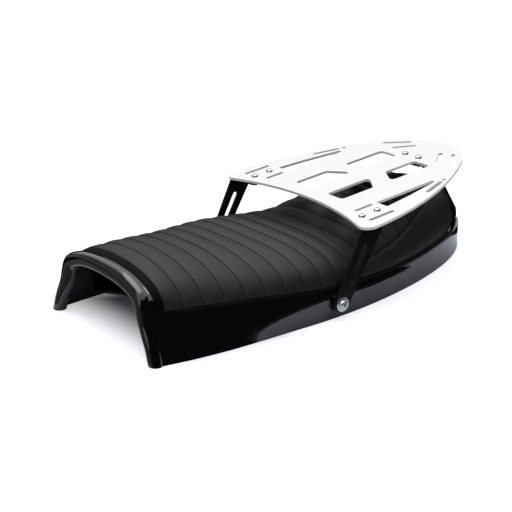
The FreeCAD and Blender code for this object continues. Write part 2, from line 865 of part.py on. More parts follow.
def base_plate_shape():
    """Flat plate inside the pan's wall, hollowed at the front for the tank."""
    wall = size("wall")
    inner = pan_solid(wall, FLOOR_CUT, 0).fuse(
        flare_solid(wall, size("flare_start") - wall, -FLOOR_CUT, size("flare_top") - wall))
    low = size("base_height")
    high = low + size("base_thick")
    far = size("seat_length")
    slab = side_prism([(0, low), (far, low), (far, high), (0, high)])
    chord = plan_half(size("base_front"), CUSHION_LENGTH) - wall
    depth = size("base_hollow")
    radius = (chord ** 2 + depth ** 2) / (2 * depth)
    centre = Vector(NOSE.value - size("base_front") - depth + radius, 0, 0)
    plate = slab.common(inner).cut(Part.makeCylinder(radius, far, centre))
    front = size("base_front")
    plate = plate.cut(side_prism([(-far, 0), (front, 0), (front, far), (-far, far)]))
    for side in (1, -1):
        at, axis, depth = side_boss(side, 0)
        plate = plate.cut(Part.makeCylinder(size("boss_radius") + size("hole_clearance"), depth, at, axis))
    hole = size("screw_radius") + size("hole_clearance")
    for back, half, radius in ((size("buffer_front"), size("buffer_half"), hole),
                               (size("buffer_rear"), size("buffer_half"), hole),
                               (size("insert_front"), size("insert_half"), size("insert_radius")),
                               (size("insert_rear"), size("insert_half"), size("insert_radius"))):
        for side in (1, -1):
            plate = plate.cut(Part.makeCylinder(radius, far, Vector(NOSE.value - back, side * half, 0)))
    return plate


def add_solid(label, shape):
    feature = doc.addObject("Part::Feature", label)
    feature.Label = label
    feature.Shape = shape
    return feature


def make_rack_plate():
    """Flat plate with a hollow front edge, bowed sides, a round tail, windows and tie slots."""
    body = new_body("rack_plate")
    outline = new_sketch(body, "rack_outline", "XY_Plane")
    horn = dim("rack_horn")
    corner_half = RACK_HALF - dim("rack_corner")
    corner_x = horn - dim("rack_corner_run")
    round_x = horn - dim("rack_corner_run") * CORNER_BULGE
    round_y = RACK_HALF - dim("rack_corner") * CORNER_BULGE
    bow_y = RACK_HALF - dim("rack_bow_in")
    shoulder = RACK_HALF - dim("rack_shoulder_in")
    add_curved_outline(outline, [
        (horn, corner_half),
        (corner_x, RACK_HALF),
        (-dim("rack_shoulder_run"), shoulder),
        (-dim("rack_shoulder_run"), -shoulder),
        (corner_x, -RACK_HALF),
        (horn, -corner_half),
    ], {
        0: (round_x, round_y),
        1: (-dim("rack_bow_run"), bow_y),
        2: (-dim("rack_end_run"), ZERO),
        3: (-dim("rack_bow_run"), -bow_y),
        4: (round_x, -round_y),
        5: (ZERO, ZERO),
    })
    add_pad(body, outline, "rack_pad", dim("rack_thick"))

    windows = new_sketch(body, "rack_windows", "XY_Plane")
    add_rounded(windows, [
        (-dim("front_window_start"), dim("window_inner")),
        (-dim("front_window_inner_end"), dim("window_inner")),
        (-dim("front_window_outer_end"), dim("window_outer")),
        (-dim("front_window_start"), dim("window_outer")),
    ], dim("window_round"))
    add_rounded(windows, [
        (-dim("rear_window_inner_start"), dim("window_inner")),
        (-dim("rear_window_end"), dim("window_inner")),
        (-dim("rear_window_end"), dim("window_outer")),
        (-dim("rear_window_outer_start"), dim("window_outer")),
    ], dim("window_round"))
    add_rounded(windows, [
        (-dim("wedge_start"), RACK_HALF - dim("wedge_inner_in")),
        (-dim("wedge_tip"), RACK_HALF - dim("wedge_inner_in")),
        (-dim("wedge_tip"), RACK_HALF - dim("wedge_tip_in") + dim("wedge_round") * TWO),
        (-dim("wedge_bend"), RACK_HALF - dim("wedge_bend_in")),
        (-dim("wedge_start"), RACK_HALF - dim("wedge_outer_in")),
    ], dim("wedge_round"))
    window_cut = add_pocket(body, windows, "window_cut", reverse=True)

    slots = new_sketch(body, "rack_slots", "XY_Plane")
    slot = dim("slot_radius")
    edge_y = RACK_HALF - dim("edge_slot_in")
    add_slot(slots, (-dim("edge_slot_start"), edge_y), (-dim("edge_slot_end"), edge_y), slot)
    inner_y = RACK_HALF - dim("inner_slot_in")
    add_slot(slots, (-dim("inner_slot_start"), inner_y), (-dim("inner_slot_end"), inner_y), slot)
    add_slot(slots, (-dim("side_slot_start"), RACK_HALF - dim("side_slot_start_in")),
             (-dim("side_slot_end"), RACK_HALF - dim("side_slot_end_in")), slot)
    add_slot(slots, (-dim("tail_slot_start"), RACK_HALF - dim("tail_slot_start_in")),
             (-dim("tail_slot_end"), RACK_HALF - dim("tail_slot_end_in")), slot)
    add_slot(slots, (-dim("arc_slot_start"), dim("arc_slot_start_half")),
             (-dim("arc_slot_end"), dim("arc_slot_end_half")), slot)
    add_circle(slots, -dim("tie_hole_run"), RACK_HALF - dim("tie_hole_in"), slot)
    slot_cut = add_pocket(body, slots, "slot_cut", reverse=True)

    holes = new_sketch(body, "rack_holes", "XY_Plane")
    hole = dim("screw_radius") + dim("hole_clearance")
    add_circle(holes, -dim("front_screw_run"), SCREW_Y, hole)
    add_circle(holes, -dim("rear_screw_run"), SCREW_Y, hole)
    add_circle(holes, -dim("strap_screw_run"), dim("strap_screw_half"), hole)
    hole_cut = add_pocket(body, holes, "hole_cut", reverse=True)

    mirror = body.newObject("PartDesign::Mirrored", "rack_mirror")
    mirror.Originals = [window_cut, slot_cut, hole_cut]
    planes = {item.Role: item for item in body.Origin.OriginFeatures}
    mirror.MirrorPlane = (planes["XZ_Plane"], [""])
    body.Tip = mirror
    in_rack_frame(body)
    return body


def make_side_bracket(label, side):
    """Slotted strip from the pan's boss to a tab folded in under the rack."""
    body = new_body(label)
    sign = number(side)
    strip = new_sketch(body, label + "_strip", "XZ_Plane")
    front = dim("strip_top_front")
    rear = -dim("strip_top_rear")
    foot = dim("foot_radius")
    centre = flat(FOOT_X, FOOT_Z)
    top_front = Vector(front.value, 0, 0)
    top_rear = Vector(rear.value, 0, 0)

    def touch(point, turn):
        """Where the line from a point runs onto the foot's round end."""
        away = centre - point
        reach = math.sqrt(away.Length ** 2 - foot.value ** 2)
        angle = math.atan2(away.y, away.x) + turn * math.asin(foot.value / away.Length)
        return point + Vector(math.cos(angle), math.sin(angle), 0) * reach

    low_front = touch(top_front, 1)
    low_rear = touch(top_rear, -1)
    under = centre + (centre - (top_front + top_rear) * 0.5).normalize() * foot.value
    top = strip.addGeometry(Part.LineSegment(top_rear, top_front))
    ahead = strip.addGeometry(Part.LineSegment(top_front, low_front))
    behind = strip.addGeometry(Part.LineSegment(low_rear, top_rear))
    round_end = strip.addGeometry(Part.Arc(low_front, under, low_rear))
    at_front = (strip.getPoint(round_end, 1) - low_front).Length < 1e-6
    first, last = (1, 2) if at_front else (2, 1)
    strip.addConstraint(Sketcher.Constraint("Coincident", top, 2, ahead, 1))
    strip.addConstraint(Sketcher.Constraint("Coincident", behind, 2, top, 1))
    strip.addConstraint(Sketcher.Constraint("Tangent", ahead, 2, round_end, first))
    strip.addConstraint(Sketcher.Constraint("Tangent", round_end, last, behind, 1))
    pin(strip, top, 1, rear, ZERO)
    pin(strip, top, 2, front, ZERO)
    pin(strip, round_end, 3, FOOT_X, FOOT_Z)
    drive(strip, Sketcher.Constraint("Radius", round_end, foot.value), foot)
    half_top = (front + rear) / TWO
    slope = (FOOT_X - half_top) / FOOT_Z
    slot_ends = []
    for drop in (-dim("strip_slot_top"), -dim("strip_slot_bottom")):
        slot_ends.append((half_top + slope * drop, drop))
    add_slot(strip, slot_ends[0], slot_ends[1], dim("strip_slot_radius"))
    add_circle(strip, FOOT_X, FOOT_Z, dim("bolt_radius") + dim("hole_clearance"))
    strip.AttachmentOffset = Placement(Vector(0, 0, -side * STRIP_IN.value), Rotation())
    strip.setExpression("AttachmentOffset.Base.z", (-(sign * STRIP_IN)).text)
    add_pad(body, strip, label + "_strip_pad", dim("strip_thick"), reverse=(side > 0))

    tab = new_sketch(body, label + "_tab", "XY_Plane")
    inner = sign * (STRIP_IN - dim("tab_reach"))
    outer = sign * STRIP_OUT
    add_polygon(tab, [(dim("tab_front"), outer), (-dim("tab_rear"), outer),
                      (-dim("tab_rear"), inner), (dim("tab_front"), inner)])
    for run in ("front_screw_run", "rear_screw_run"):
        add_circle(tab, -dim(run), sign * SCREW_Y, dim("screw_radius") + dim("hole_clearance"))
    slot_y = sign * (RACK_HALF - dim("edge_slot_in"))
    add_slot(tab, (-dim("edge_slot_start"), slot_y), (-dim("edge_slot_end"), slot_y),
             dim("slot_radius") + dim("hole_clearance"))
    pad = add_pad(body, tab, label + "_tab_pad", dim("strip_thick"), reverse=True)
    doc.recompute()
    upright = Vector(0, 0, 1)
    tab_end = (STRIP_IN - dim("tab_reach")).value
    corners = edges_along(pad.Shape, upright, lambda middle: abs(abs(middle.y) - tab_end) < 1)
    add_fillet(body, pad, label + "_tab_round", corners, dim("bend_radius") * TWO)
    in_rack_frame(body)
    return body


def make_rear_strap():
    """Bent strap from under the rack down behind the cushion to the tail's pad."""
    body = new_body("rear_strap")
    side = new_sketch(body, "strap_side", "XZ_Plane")
    thick = dim("strip_thick")
    spine = [
        (-dim("strap_tab_start"), ZERO),
        (-dim("strap_tab_end"), ZERO),
        (-PAD_X - thick, -dim("strap_knee_drop")),
        (-PAD_X - thick, -dim("strap_foot_drop")),
    ]
    points = [flat(*place) for place in spine]
    inner = []
    for i, point in enumerate(points):
        normals = []
        for a, b in ((i - 1, i), (i, i + 1)):
            if a >= 0 and b < len(points):
                along = (points[b] - points[a]).normalize()
                normals.append(Vector(-along.y, along.x, 0))
        mean = sum(normals[1:], normals[0]).normalize()
        inner.append(point + mean * (thick.value / mean.dot(normals[0])))
    outer_lines = []
    inner_lines = []
    for a, b in zip(range(3), range(1, 4)):
        outer_lines.append(side.addGeometry(Part.LineSegment(points[a], points[b])))
        inner_lines.append(side.addGeometry(Part.LineSegment(inner[a], inner[b])))
    start = side.addGeometry(Part.LineSegment(points[0], inner[0]))
    end = side.addGeometry(Part.LineSegment(points[3], inner[3]))
    for lines in (outer_lines, inner_lines):
        for a, b in zip(lines, lines[1:]):
            side.addConstraint(Sketcher.Constraint("Coincident", a, 2, b, 1))
        at = 1 if lines is outer_lines else 2
        side.addConstraint(Sketcher.Constraint("Coincident", start, at, lines[0], 1))
        side.addConstraint(Sketcher.Constraint("Coincident", end, at, lines[-1], 2))
    for i, place in enumerate(spine[:3]):
        pin(side, outer_lines[i], 1, *place)
    pin(side, outer_lines[2], 2, *spine[3])
    for outer_line, inner_line in zip(outer_lines, inner_lines):
        side.addConstraint(Sketcher.Constraint("Parallel", outer_line, inner_line))
        drive(side, Sketcher.Constraint("Distance", inner_line, 1, outer_line, thick.value), thick)
    side.addConstraint(Sketcher.Constraint("Perpendicular", start, outer_lines[0]))
    side.addConstraint(Sketcher.Constraint("Perpendicular", end, outer_lines[2]))
    pad = add_pad(body, side, "strap_pad", dim("strap_half") * TWO, both=True)
    tab_holes = new_sketch(body, "strap_tab_holes", "XY_Plane")
    foot_holes = new_sketch(body, "strap_foot_holes", "YZ_Plane")
    hole = dim("screw_radius") + dim("hole_clearance")
    for sign in (number(1), number(-1)):
        add_circle(tab_holes, -dim("strap_screw_run"), sign * dim("strap_screw_half"), hole)
        add_circle(foot_holes, sign * dim("leg_bolt_half"), -dim("strap_bolt_drop"), hole)
    add_pocket(body, tab_holes, "strap_tab_cut")
    add_pocket(body, foot_holes, "strap_foot_cut")
    doc.recompute()
    tip = body.Tip
    across = Vector(0, 1, 0)
    low = -dim("strap_foot_drop").value

    def is_bend(middle):
        ends = [points[0], inner[0], points[3], inner[3]]
        inside = all((Vector(middle.x, middle.z, 0) - place).Length > 1 for place in ends)
        return inside and middle.z > low + 1

    add_fillet(body, tip, "strap_bends", edges_along(tip.Shape, across, is_bend), dim("bend_radius"))
    taper = new_sketch(body, "strap_taper", "YZ_Plane")
    outside = dim("strap_half") + thick
    below = -dim("strap_foot_drop") - thick
    for sign in (number(1), number(-1)):
        add_polygon(taper, [
            (sign * outside, -thick * TWO),
            (sign * dim("leg_half"), -dim("strap_taper_drop")),
            (sign * dim("leg_half"), below),
            (sign * outside, below),
        ])
    add_pocket(body, taper, "strap_taper_cut")
    in_rack_frame(body)
    return body


# Fasteners: one master of each kind and a group of placed copies

def make_screw(name, radius, head_radius, head_height, length, socket):
    """Domed socket screw along +Z, its shank below the origin and its head above."""
    body = new_body(name)
    profile = new_sketch(body, name + "_profile", "XZ_Plane")
    crown = head_radius * CROWN_WIDTH
    add_curved_outline(profile, [
        (ZERO, -length),
        (radius, -length),
        (radius, ZERO),
        (head_radius, ZERO),
        (crown, head_height),
        (ZERO, head_height),
    ], {3: (head_radius * CROWN_BULGE_WIDTH, head_height * CROWN_BULGE_HEIGHT)})
    turned = body.newObject("PartDesign::Revolution", name + "_turned")
    turned.Profile = profile
    turned.ReferenceAxis = (profile, ["V_Axis"])
    turned.Angle = 360
    recess = new_sketch(body, name + "_recess", "XY_Plane")
    recess.AttachmentOffset = Placement(Vector(0, 0, head_height.value), Rotation())
    recess.setExpression("AttachmentOffset.Base.z", head_height.text)
    add_hexagon(recess, socket)
    add_pocket(body, recess, name + "_socket", length=head_height * SOCKET_DEPTH)
    return body


def add_hexagon(sketch, radius):
    """Regular hexagon about the origin, one corner on the sketch's first axis."""
    corners = []
    for step in range(6):
        angle = math.pi / 3 * step
        corners.append(Vector(math.cos(angle), math.sin(angle), 0) * radius.value)
    lines = []
    for i in range(6):
        lines.append(sketch.addGeometry(Part.LineSegment(corners[i], corners[(i + 1) % 6])))
    ring = sketch.addGeometry(Part.Circle(Vector(0, 0, 0), Vector(0, 0, 1), radius.value), True)
    sketch.addConstraint(Sketcher.Constraint("Coincident", ring, 3, -1, 1))
    drive(sketch, Sketcher.Constraint("Radius", ring, radius.value), radius)
    for i in range(6):
        sketch.addConstraint(Sketcher.Constraint("Coincident", lines[i - 1], 2, lines[i], 1))
        sketch.addConstraint(Sketcher.Constraint("PointOnObject", lines[i], 1, ring))
    for line in lines[1:]:
        sketch.addConstraint(Sketcher.Constraint("Equal", lines[0], line))
    sketch.addConstraint(Sketcher.Constraint("PointOnObject", lines[0], 1, -1))


def make_ring(name, radius, bore, height, hexagon=False):
    """Washer or nut standing on the XY plane."""
    body = new_body(name)
    profile = new_sketch(body, name + "_profile", "XY_Plane")
    if hexagon:
        add_hexagon(profile, radius)
    else:
        add_circle(profile, ZERO, ZERO, radius)
    add_circle(profile, ZERO, ZERO, bore)
    add_pad(body, profile, name + "_pad", height)
    return body


def make_turned(name, corners):
    """Turned piece about Z from its half section."""
    body = new_body(name)
    profile = new_sketch(body, name + "_profile", "XZ_Plane")
    add_polygon(profile, corners)
    turned = body.newObject("PartDesign::Revolution", name + "_turned")
    turned.Profile = profile
    turned.ReferenceAxis = (profile, ["V_Axis"])
    turned.Angle = 360
    return body


UPRIGHT = Rotation()
UPSIDE_DOWN = Rotation(Vector(1, 0, 0), 180)


def outward(side):
    """Turn that points a fastener's head out of the pan's left or right side."""
    return Rotation(Vector(1, 0, 0), -90 * side)


def add_group(label, master, spots, on_rack=False):
    """Copies of a master at (x, y, z, turn), each place driven by the sheet."""
    links = []
    for index, (x, y, z, turn) in enumerate(spots):
        link = doc.addObject("App::Link", "%s_%d" % (label, index))
        link.LinkedObject = master
        link.LinkTransform = False
        link.Placement = Placement(Vector(x.value, y.value, z.value), turn)
        for axis, length in (("x", x), ("y", y), ("z", z)):
            link.setExpression("Placement.Base." + axis, length.text)
        links.append(link)
    group = doc.addObject("Part::Compound", label)
    group.Label = label
    group.Links = links
    if on_rack:
        in_rack_frame(group)
    return group


def both_sides(x, y, z, turn):
    return [(x, y, z, turn), (x, -y, z, turn)]


def rack_screw_spots(height, turn):
    spots = []
    for run, half in ((dim("front_screw_run"), SCREW_Y),
                      (dim("rear_screw_run"), SCREW_Y),
                      (dim("strap_screw_run"), dim("strap_screw_half"))):
        spots += both_sides(-run, half, height, turn)
    return spots


def make_fasteners():
    rack_screw = make_screw("rack_screw_master", dim("screw_radius"), dim("screw_head_radius"),
                            dim("screw_head_height"), RACK_SCREW_LENGTH, dim("screw_socket"))
    strap_bolt = make_screw("strap_bolt_master", dim("screw_radius"), dim("screw_head_radius"),
                            dim("screw_head_height"), STRAP_BOLT_LENGTH, dim("screw_socket"))
    bracket_bolt = make_screw("bracket_bolt_master", dim("bolt_radius"), dim("bolt_head_radius"),
                              dim("bolt_head_height"), BRACKET_BOLT_LENGTH, dim("bolt_socket"))
    buffer_screw = make_screw("buffer_screw_master", dim("screw_radius"), dim("screw_head_radius"),
                              dim("screw_head_height"), BUFFER_SCREW_LENGTH, dim("screw_socket"))
    nut = make_ring("nut_master", dim("nut_radius"), dim("screw_radius") + dim("thread_clearance"),
                    dim("nut_height"), hexagon=True)
    bolt_nut = make_ring("bolt_nut_master", dim("bolt_nut_radius"),
                         dim("bolt_radius") + dim("thread_clearance"), dim("bolt_nut_height"), hexagon=True)
    washer = make_ring("washer_master", dim("washer_radius"), dim("bolt_radius") + dim("hole_clearance"),
                       dim("washer_thick"))
    low = dim("base_height")
    recess = dim("buffer_recess")
    hole = dim("screw_radius") + dim("hole_clearance")
    buffer = make_turned("buffer_master", [
        (dim("buffer_hollow"), ZERO),
        (dim("buffer_radius"), ZERO),
        (dim("buffer_radius"), low),
        (hole, low),
        (hole, recess),
        (dim("buffer_hollow"), recess),
    ])
    top = low + dim("base_thick")
    flange_top = top + dim("insert_flange_thick")
    insert = make_turned("insert_master", [
        (dim("insert_bore"), low),
        (dim("insert_radius"), low),
        (dim("insert_radius"), top),
        (dim("insert_flange"), top),
        (dim("insert_flange"), flange_top),
        (dim("insert_bore"), flange_top),
    ])

    groups = []
    under_tab = -(dim("strip_thick") + dim("nut_height"))
    groups.append(add_group("rack_screws", rack_screw, rack_screw_spots(dim("rack_thick"), UPRIGHT), True))
    groups.append(add_group("rack_nuts", nut, rack_screw_spots(under_tab, UPRIGHT), True))
    rearward = Rotation(Vector(0, 1, 0), -90)
    behind = -(PAD_X + dim("strip_thick"))
    inside = -(PAD_X - dim("pad_depth"))
    bolt_z = -dim("strap_bolt_drop")
    spread = dim("leg_bolt_half")
    groups.append(add_group("strap_bolts", strap_bolt, both_sides(behind, spread, bolt_z, rearward), True))
    forward = Rotation(Vector(0, 1, 0), 90)
    groups.append(add_group("strap_nuts", nut, both_sides(inside, spread, bolt_z, forward), True))

    foot_x = NOSE - dim("foot_back")
    foot_z = dim("foot_height")
    seats = (
        ("bracket_washers", washer, STRIP_OUT),
        ("bracket_bolts", bracket_bolt, STRIP_OUT + dim("washer_thick")),
        ("bracket_nuts", bolt_nut, STRIP_IN - dim("boss_depth") - dim("bolt_nut_height")),
    )
    for label, master, out in seats:
        spots = [(foot_x, out, foot_z, outward(1)), (foot_x, -out, foot_z, outward(-1))]
        groups.append(add_group(label, master, spots))

    buffer_spots = []
    insert_spots = []
    for run in ("buffer_front", "buffer_rear"):
        buffer_spots += both_sides(NOSE - dim(run), dim("buffer_half"), ZERO, UPRIGHT)
    for run in ("insert_front", "insert_rear"):
        insert_spots += both_sides(NOSE - dim(run), dim("insert_half"), ZERO, UPRIGHT)
    groups.append(add_group("rubber_buffers", buffer, buffer_spots))
    groups.append(add_group("frame_inserts", insert, insert_spots))
    heads = [(x, y, recess, UPSIDE_DOWN) for x, y, z, turn in buffer_spots]
    groups.append(add_group("buffer_screws", buffer_screw, heads))
    nuts = [(x, y, top, UPRIGHT) for x, y, z, turn in buffer_spots]
    groups.append(add_group("buffer_nuts", nut, nuts))
    return groups


shell = shell_shape()
cushion = cushion_shape()
trim = tube(trim_path(), size("trim_radius"), TRIM_RINGS).cut(shell)
trim = max(trim.Solids, key=lambda solid: solid.Volume)
nodes = [
    add_solid("seat_shell", shell),
    add_solid("cushion", cushion),
    add_solid("edge_trim", trim),
    add_solid("base_plate", base_plate_shape()),
    make_rack_plate(),
    make_side_bracket("left_bracket", 1),
    make_side_bracket("right_bracket", -1),
    make_rear_strap(),
]
nodes += make_fasteners()
doc.recompute()

for item in doc.Objects:
    if "Invalid" in item.State or "Error" in item.State:
        raise RuntimeError("%s failed: %s" % (item.Label, item.State))
for node in nodes:
    if node.Shape.isNull() or not node.Shape.isValid() or not node.Shape.Solids:
        raise RuntimeError("%s has no valid solid" % node.Label)

os.makedirs("parts", exist_ok=True)
for node in nodes:
    node.Shape.exportStep("parts/%s.step" % node.Label)
    print(node.Label, len(node.Shape.Solids), round(node.Shape.Volume))
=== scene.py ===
"""Looks of the scrambler seat: pleated cushion, gloss pan, alloy rack and the studio round them."""

import math

import bmesh
import bpy
from bpy.props import FloatProperty, FloatVectorProperty, IntProperty, PointerProperty
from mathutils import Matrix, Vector
from mathutils.bvhtree import BVHTree
from mathutils.kdtree import KDTree


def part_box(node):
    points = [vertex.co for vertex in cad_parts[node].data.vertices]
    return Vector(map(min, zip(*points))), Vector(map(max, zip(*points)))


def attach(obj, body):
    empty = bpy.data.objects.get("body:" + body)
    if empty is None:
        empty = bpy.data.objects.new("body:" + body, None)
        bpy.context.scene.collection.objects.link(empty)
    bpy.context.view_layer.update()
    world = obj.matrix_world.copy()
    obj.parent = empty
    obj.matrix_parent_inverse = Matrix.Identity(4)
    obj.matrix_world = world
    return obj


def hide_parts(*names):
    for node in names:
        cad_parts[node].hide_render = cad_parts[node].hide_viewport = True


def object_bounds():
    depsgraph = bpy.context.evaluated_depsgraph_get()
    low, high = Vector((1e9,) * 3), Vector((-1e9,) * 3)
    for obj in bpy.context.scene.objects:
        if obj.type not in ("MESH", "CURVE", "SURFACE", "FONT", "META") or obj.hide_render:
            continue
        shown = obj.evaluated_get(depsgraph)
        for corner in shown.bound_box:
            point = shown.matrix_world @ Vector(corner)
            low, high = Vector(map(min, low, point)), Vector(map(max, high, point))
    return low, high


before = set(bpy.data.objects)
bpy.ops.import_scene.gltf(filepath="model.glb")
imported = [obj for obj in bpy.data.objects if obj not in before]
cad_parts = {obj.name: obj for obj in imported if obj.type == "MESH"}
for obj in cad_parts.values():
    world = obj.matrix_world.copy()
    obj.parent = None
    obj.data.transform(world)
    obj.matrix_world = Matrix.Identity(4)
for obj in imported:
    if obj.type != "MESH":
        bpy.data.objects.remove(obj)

bl_info = {
    "name": "Scrambler Seat",
    "version": (1, 0, 0),
    "blender": (4, 5, 0),
    "location": "View3D > Sidebar > Seat",
    "description": "Dresses a scrambler seat with a pleated cushion, a gloss pan and an alloy rack",
    "category": "Object",
}

CAD_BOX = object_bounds()
BODY = "root"
FRONT = CAD_BOX[1][0]
MM = 0.001


# Settings

class CushionSettings(bpy.types.PropertyGroup):
    seam_depth: FloatProperty(
        name="Seam Depth",
        description="How far a sewn line is pulled in below the pleats of the solid",
        default=1.5 * MM, unit="LENGTH")
    seam_width: FloatProperty(
        name="Seam Width", description="Width over which the cover is pulled in",
        default=1.8 * MM, unit="LENGTH")
    slack: FloatProperty(
        name="Slack", description="How much smaller the cover starts before it swells",
        default=1.0 * MM, unit="LENGTH")
    panel_start: FloatProperty(
        name="Panel Start",
        description="From the front lip to where the pleated top leaves the sides",
        default=352 * MM, unit="LENGTH")
    panel_end: FloatProperty(
        name="Panel End", description="From the front lip to the rear end of the pleated top",
        default=612 * MM, unit="LENGTH")
    panel_half: FloatProperty(
        name="Panel Half Width",
        description="Half width of the pleated top where it leaves the sides",
        default=130 * MM, unit="LENGTH")
    swell_limit: FloatProperty(
        name="Swell Limit", description="Furthest that a point of the cover may move",
        default=5.0 * MM, unit="LENGTH")
    pressure: FloatProperty(
        name="Pressure", description="Pressure of the foam on the cover",
        default=300.0)
    columns: IntProperty(
        name="Columns", description="Points across the cover, from edge to edge",
        default=81, min=9)
    nose_round: FloatProperty(
        name="Nose Round", description="Radius of the cover's rolled front edge",
        default=11 * MM, unit="LENGTH")
    thread_radius: FloatProperty(
        name="Thread Radius", description="Half thickness of the sewing thread",
        default=0.6 * MM, unit="LENGTH")
    stitch_length: FloatProperty(
        name="Stitch Length", description="Length of one stitch",
        default=3.6 * MM, unit="LENGTH")
    stitch_pitch: FloatProperty(
        name="Stitch Pitch", description="From one stitch to the next",
        default=4.4 * MM, unit="LENGTH")


class FinishSettings(bpy.types.PropertyGroup):
    vinyl: FloatVectorProperty(
        name="Vinyl", description="Colour of the cushion's cover",
        default=(0.016, 0.016, 0.0158), subtype="COLOR", min=0, max=1)
    pan: FloatVectorProperty(
        name="Pan", description="Colour of the gloss pan",
        default=(0.003, 0.003, 0.0032), subtype="COLOR", min=0, max=1)
    alloy: FloatVectorProperty(
        name="Alloy", description="Colour of the rack's faces",
        default=(0.97, 0.97, 0.975), subtype="COLOR", min=0, max=1)
    cut_edge: FloatVectorProperty(
        name="Cut Edge", description="Colour of the rack's cut edges",
        default=(0.80, 0.775, 0.73), subtype="COLOR", min=0, max=1)
    coat: FloatVectorProperty(
        name="Powder Coat", description="Colour of the coated brackets",
        default=(0.006, 0.006, 0.006), subtype="COLOR", min=0, max=1)
    zinc: FloatVectorProperty(
        name="Zinc", description="Colour of the bright fasteners",
        default=(0.80, 0.81, 0.82), subtype="COLOR", min=0, max=1)


class StageSettings(bpy.types.PropertyGroup):
    camera_place: FloatVectorProperty(
        name="Camera Place", description="Where the camera stands",
        default=(1.197, 1.474, 0.732), subtype="TRANSLATION")
    camera_back: FloatVectorProperty(
        name="Camera Back", description="Direction from the seat to the camera",
        default=(0.5710, 0.7467, 0.3410), subtype="DIRECTION")
    lens: FloatProperty(
        name="Lens", description="Focal length on a 36 mm sensor",
        default=93.94)
    softbox: FloatProperty(
        name="Softbox", description="Power of the overhead softbox",
        default=34.0, subtype="POWER")
    fill: FloatProperty(
        name="Fill", description="Strength of the soft light all round",
        default=0.55)


# Mesh and node helpers

def mesh_object(name, verts, faces, edges=()):
    mesh = bpy.data.meshes.new(name)
    mesh.from_pydata([tuple(v) for v in verts], list(edges), faces)
    mesh.validate()
    obj = bpy.data.objects.new(name, mesh)
    bpy.context.scene.collection.objects.link(obj)
    return obj


def shade_smooth(mesh):
    mesh.polygons.foreach_set("use_smooth", [True] * len(mesh.polygons))
    mesh.update()


def bake_modifiers(obj):
    """Turns the evaluated object into its own plain mesh."""
    depsgraph = bpy.context.evaluated_depsgraph_get()
    mesh = bpy.data.meshes.new_from_object(obj.evaluated_get(depsgraph))
    obj.modifiers.clear()
    obj.data = mesh
    return mesh


def mesh_tree(mesh):
    """Ray and nearest-point search over a mesh."""
    verts = [v.co.copy() for v in mesh.vertices]
    return BVHTree.FromPolygons(verts, [tuple(p.vertices) for p in mesh.polygons])


def node_tree(node):
    return mesh_tree(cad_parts[node].data)


def put_on(piece, material, slot, *nodes):
    """Gives a finished piece its material and its body, and hides the CAD parts it takes the place
    of.
    """
    if piece.data.materials:
        piece.data.materials.clear()
    for item in material if isinstance(material, list) else [material]:
        piece.data.materials.append(item)
    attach(piece, BODY)
    if nodes:
        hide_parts(*nodes)


def finish_nodes(material, *nodes):
    for node in nodes:
        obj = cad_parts[node]
        for slot in obj.material_slots:
            slot.material = material


class Paint:
    """A material whose nodes are made and linked by name."""

    def __init__(self, name):
        self.material = bpy.data.materials.new(name)
        self.material.use_nodes = True
        self.tree = self.material.node_tree
        self.shader = self.tree.nodes["Principled BSDF"]

    def set(self, **sockets):
        for name, value in sockets.items():
            socket = self.shader.inputs[name.replace("_", " ")]
            if isinstance(value, bpy.types.NodeSocket):
                self.tree.links.new(value, socket)
            else:
                colour = socket.type == "RGBA" and len(value) == 3
                socket.default_value = (*value, 1) if colour else value

    def node(self, kind, inputs=None, **settings):
        node = self.tree.nodes.new(kind)
        for name, value in settings.items():
            setattr(node, name, value)
        for key, value in (inputs or {}).items():
            if isinstance(value, bpy.types.NodeSocket):
                self.tree.links.new(value, node.inputs[key])
            else:
                node.inputs[key].default_value = value
        return node

    def place(self, scale=(1, 1, 1)):
        coordinates = self.node("ShaderNodeTexCoord").outputs["Object"]
        inputs = {"Vector": coordinates, "Scale": scale}
        return self.node("ShaderNodeMapping", inputs).outputs["Vector"]

    def noise(self, scale, detail=3.0, place=None):
        inputs = {"Vector": place or self.place(), "Scale": scale, "Detail": detail}
        return self.node("ShaderNodeTexNoise", inputs).outputs["Fac"]

    def cells(self, scale):
        inputs = {"Vector": self.place(), "Scale": scale}
        return self.node("ShaderNodeTexVoronoi", inputs).outputs["Distance"]

    def between(self, value, low, high, start=0.0, stop=1.0):
        inputs = {"Value": value, "From Min": start, "From Max": stop,
                  "To Min": low, "To Max": high}
        return self.node("ShaderNodeMapRange", inputs).outputs["Result"]

    def blend(self, share, first, second):
        node = self.node("ShaderNodeMix", data_type="RGBA")
        for index, value in ((0, share), (6, first), (7, second)):
            socket = node.inputs[index]
            if isinstance(value, bpy.types.NodeSocket):
                self.tree.links.new(value, socket)
            else:
                socket.default_value = (*value, 1) if index else value
        return node.outputs[2]

    def bump(self, height, strength, distance, normal=None):
        inputs = {"Height": height, "Strength": strength, "Distance": distance}
        if normal:
            inputs["Normal"] = normal
        return self.node("ShaderNodeBump", inputs).outputs["Normal"]


def shade(colour, factor):
    return tuple(min(c * factor, 1.0) for c in colour)


# Finishes

# Painted shade: a black band along the cover's front end, standing for the shade on its front face.
PAINTED_SHADE_WIDTH = 11 * MM
PAINTED_SHADE_EDGE = 2 * MM
PAINTED_SHADE_BLACK = (0.002, 0.002, 0.002)


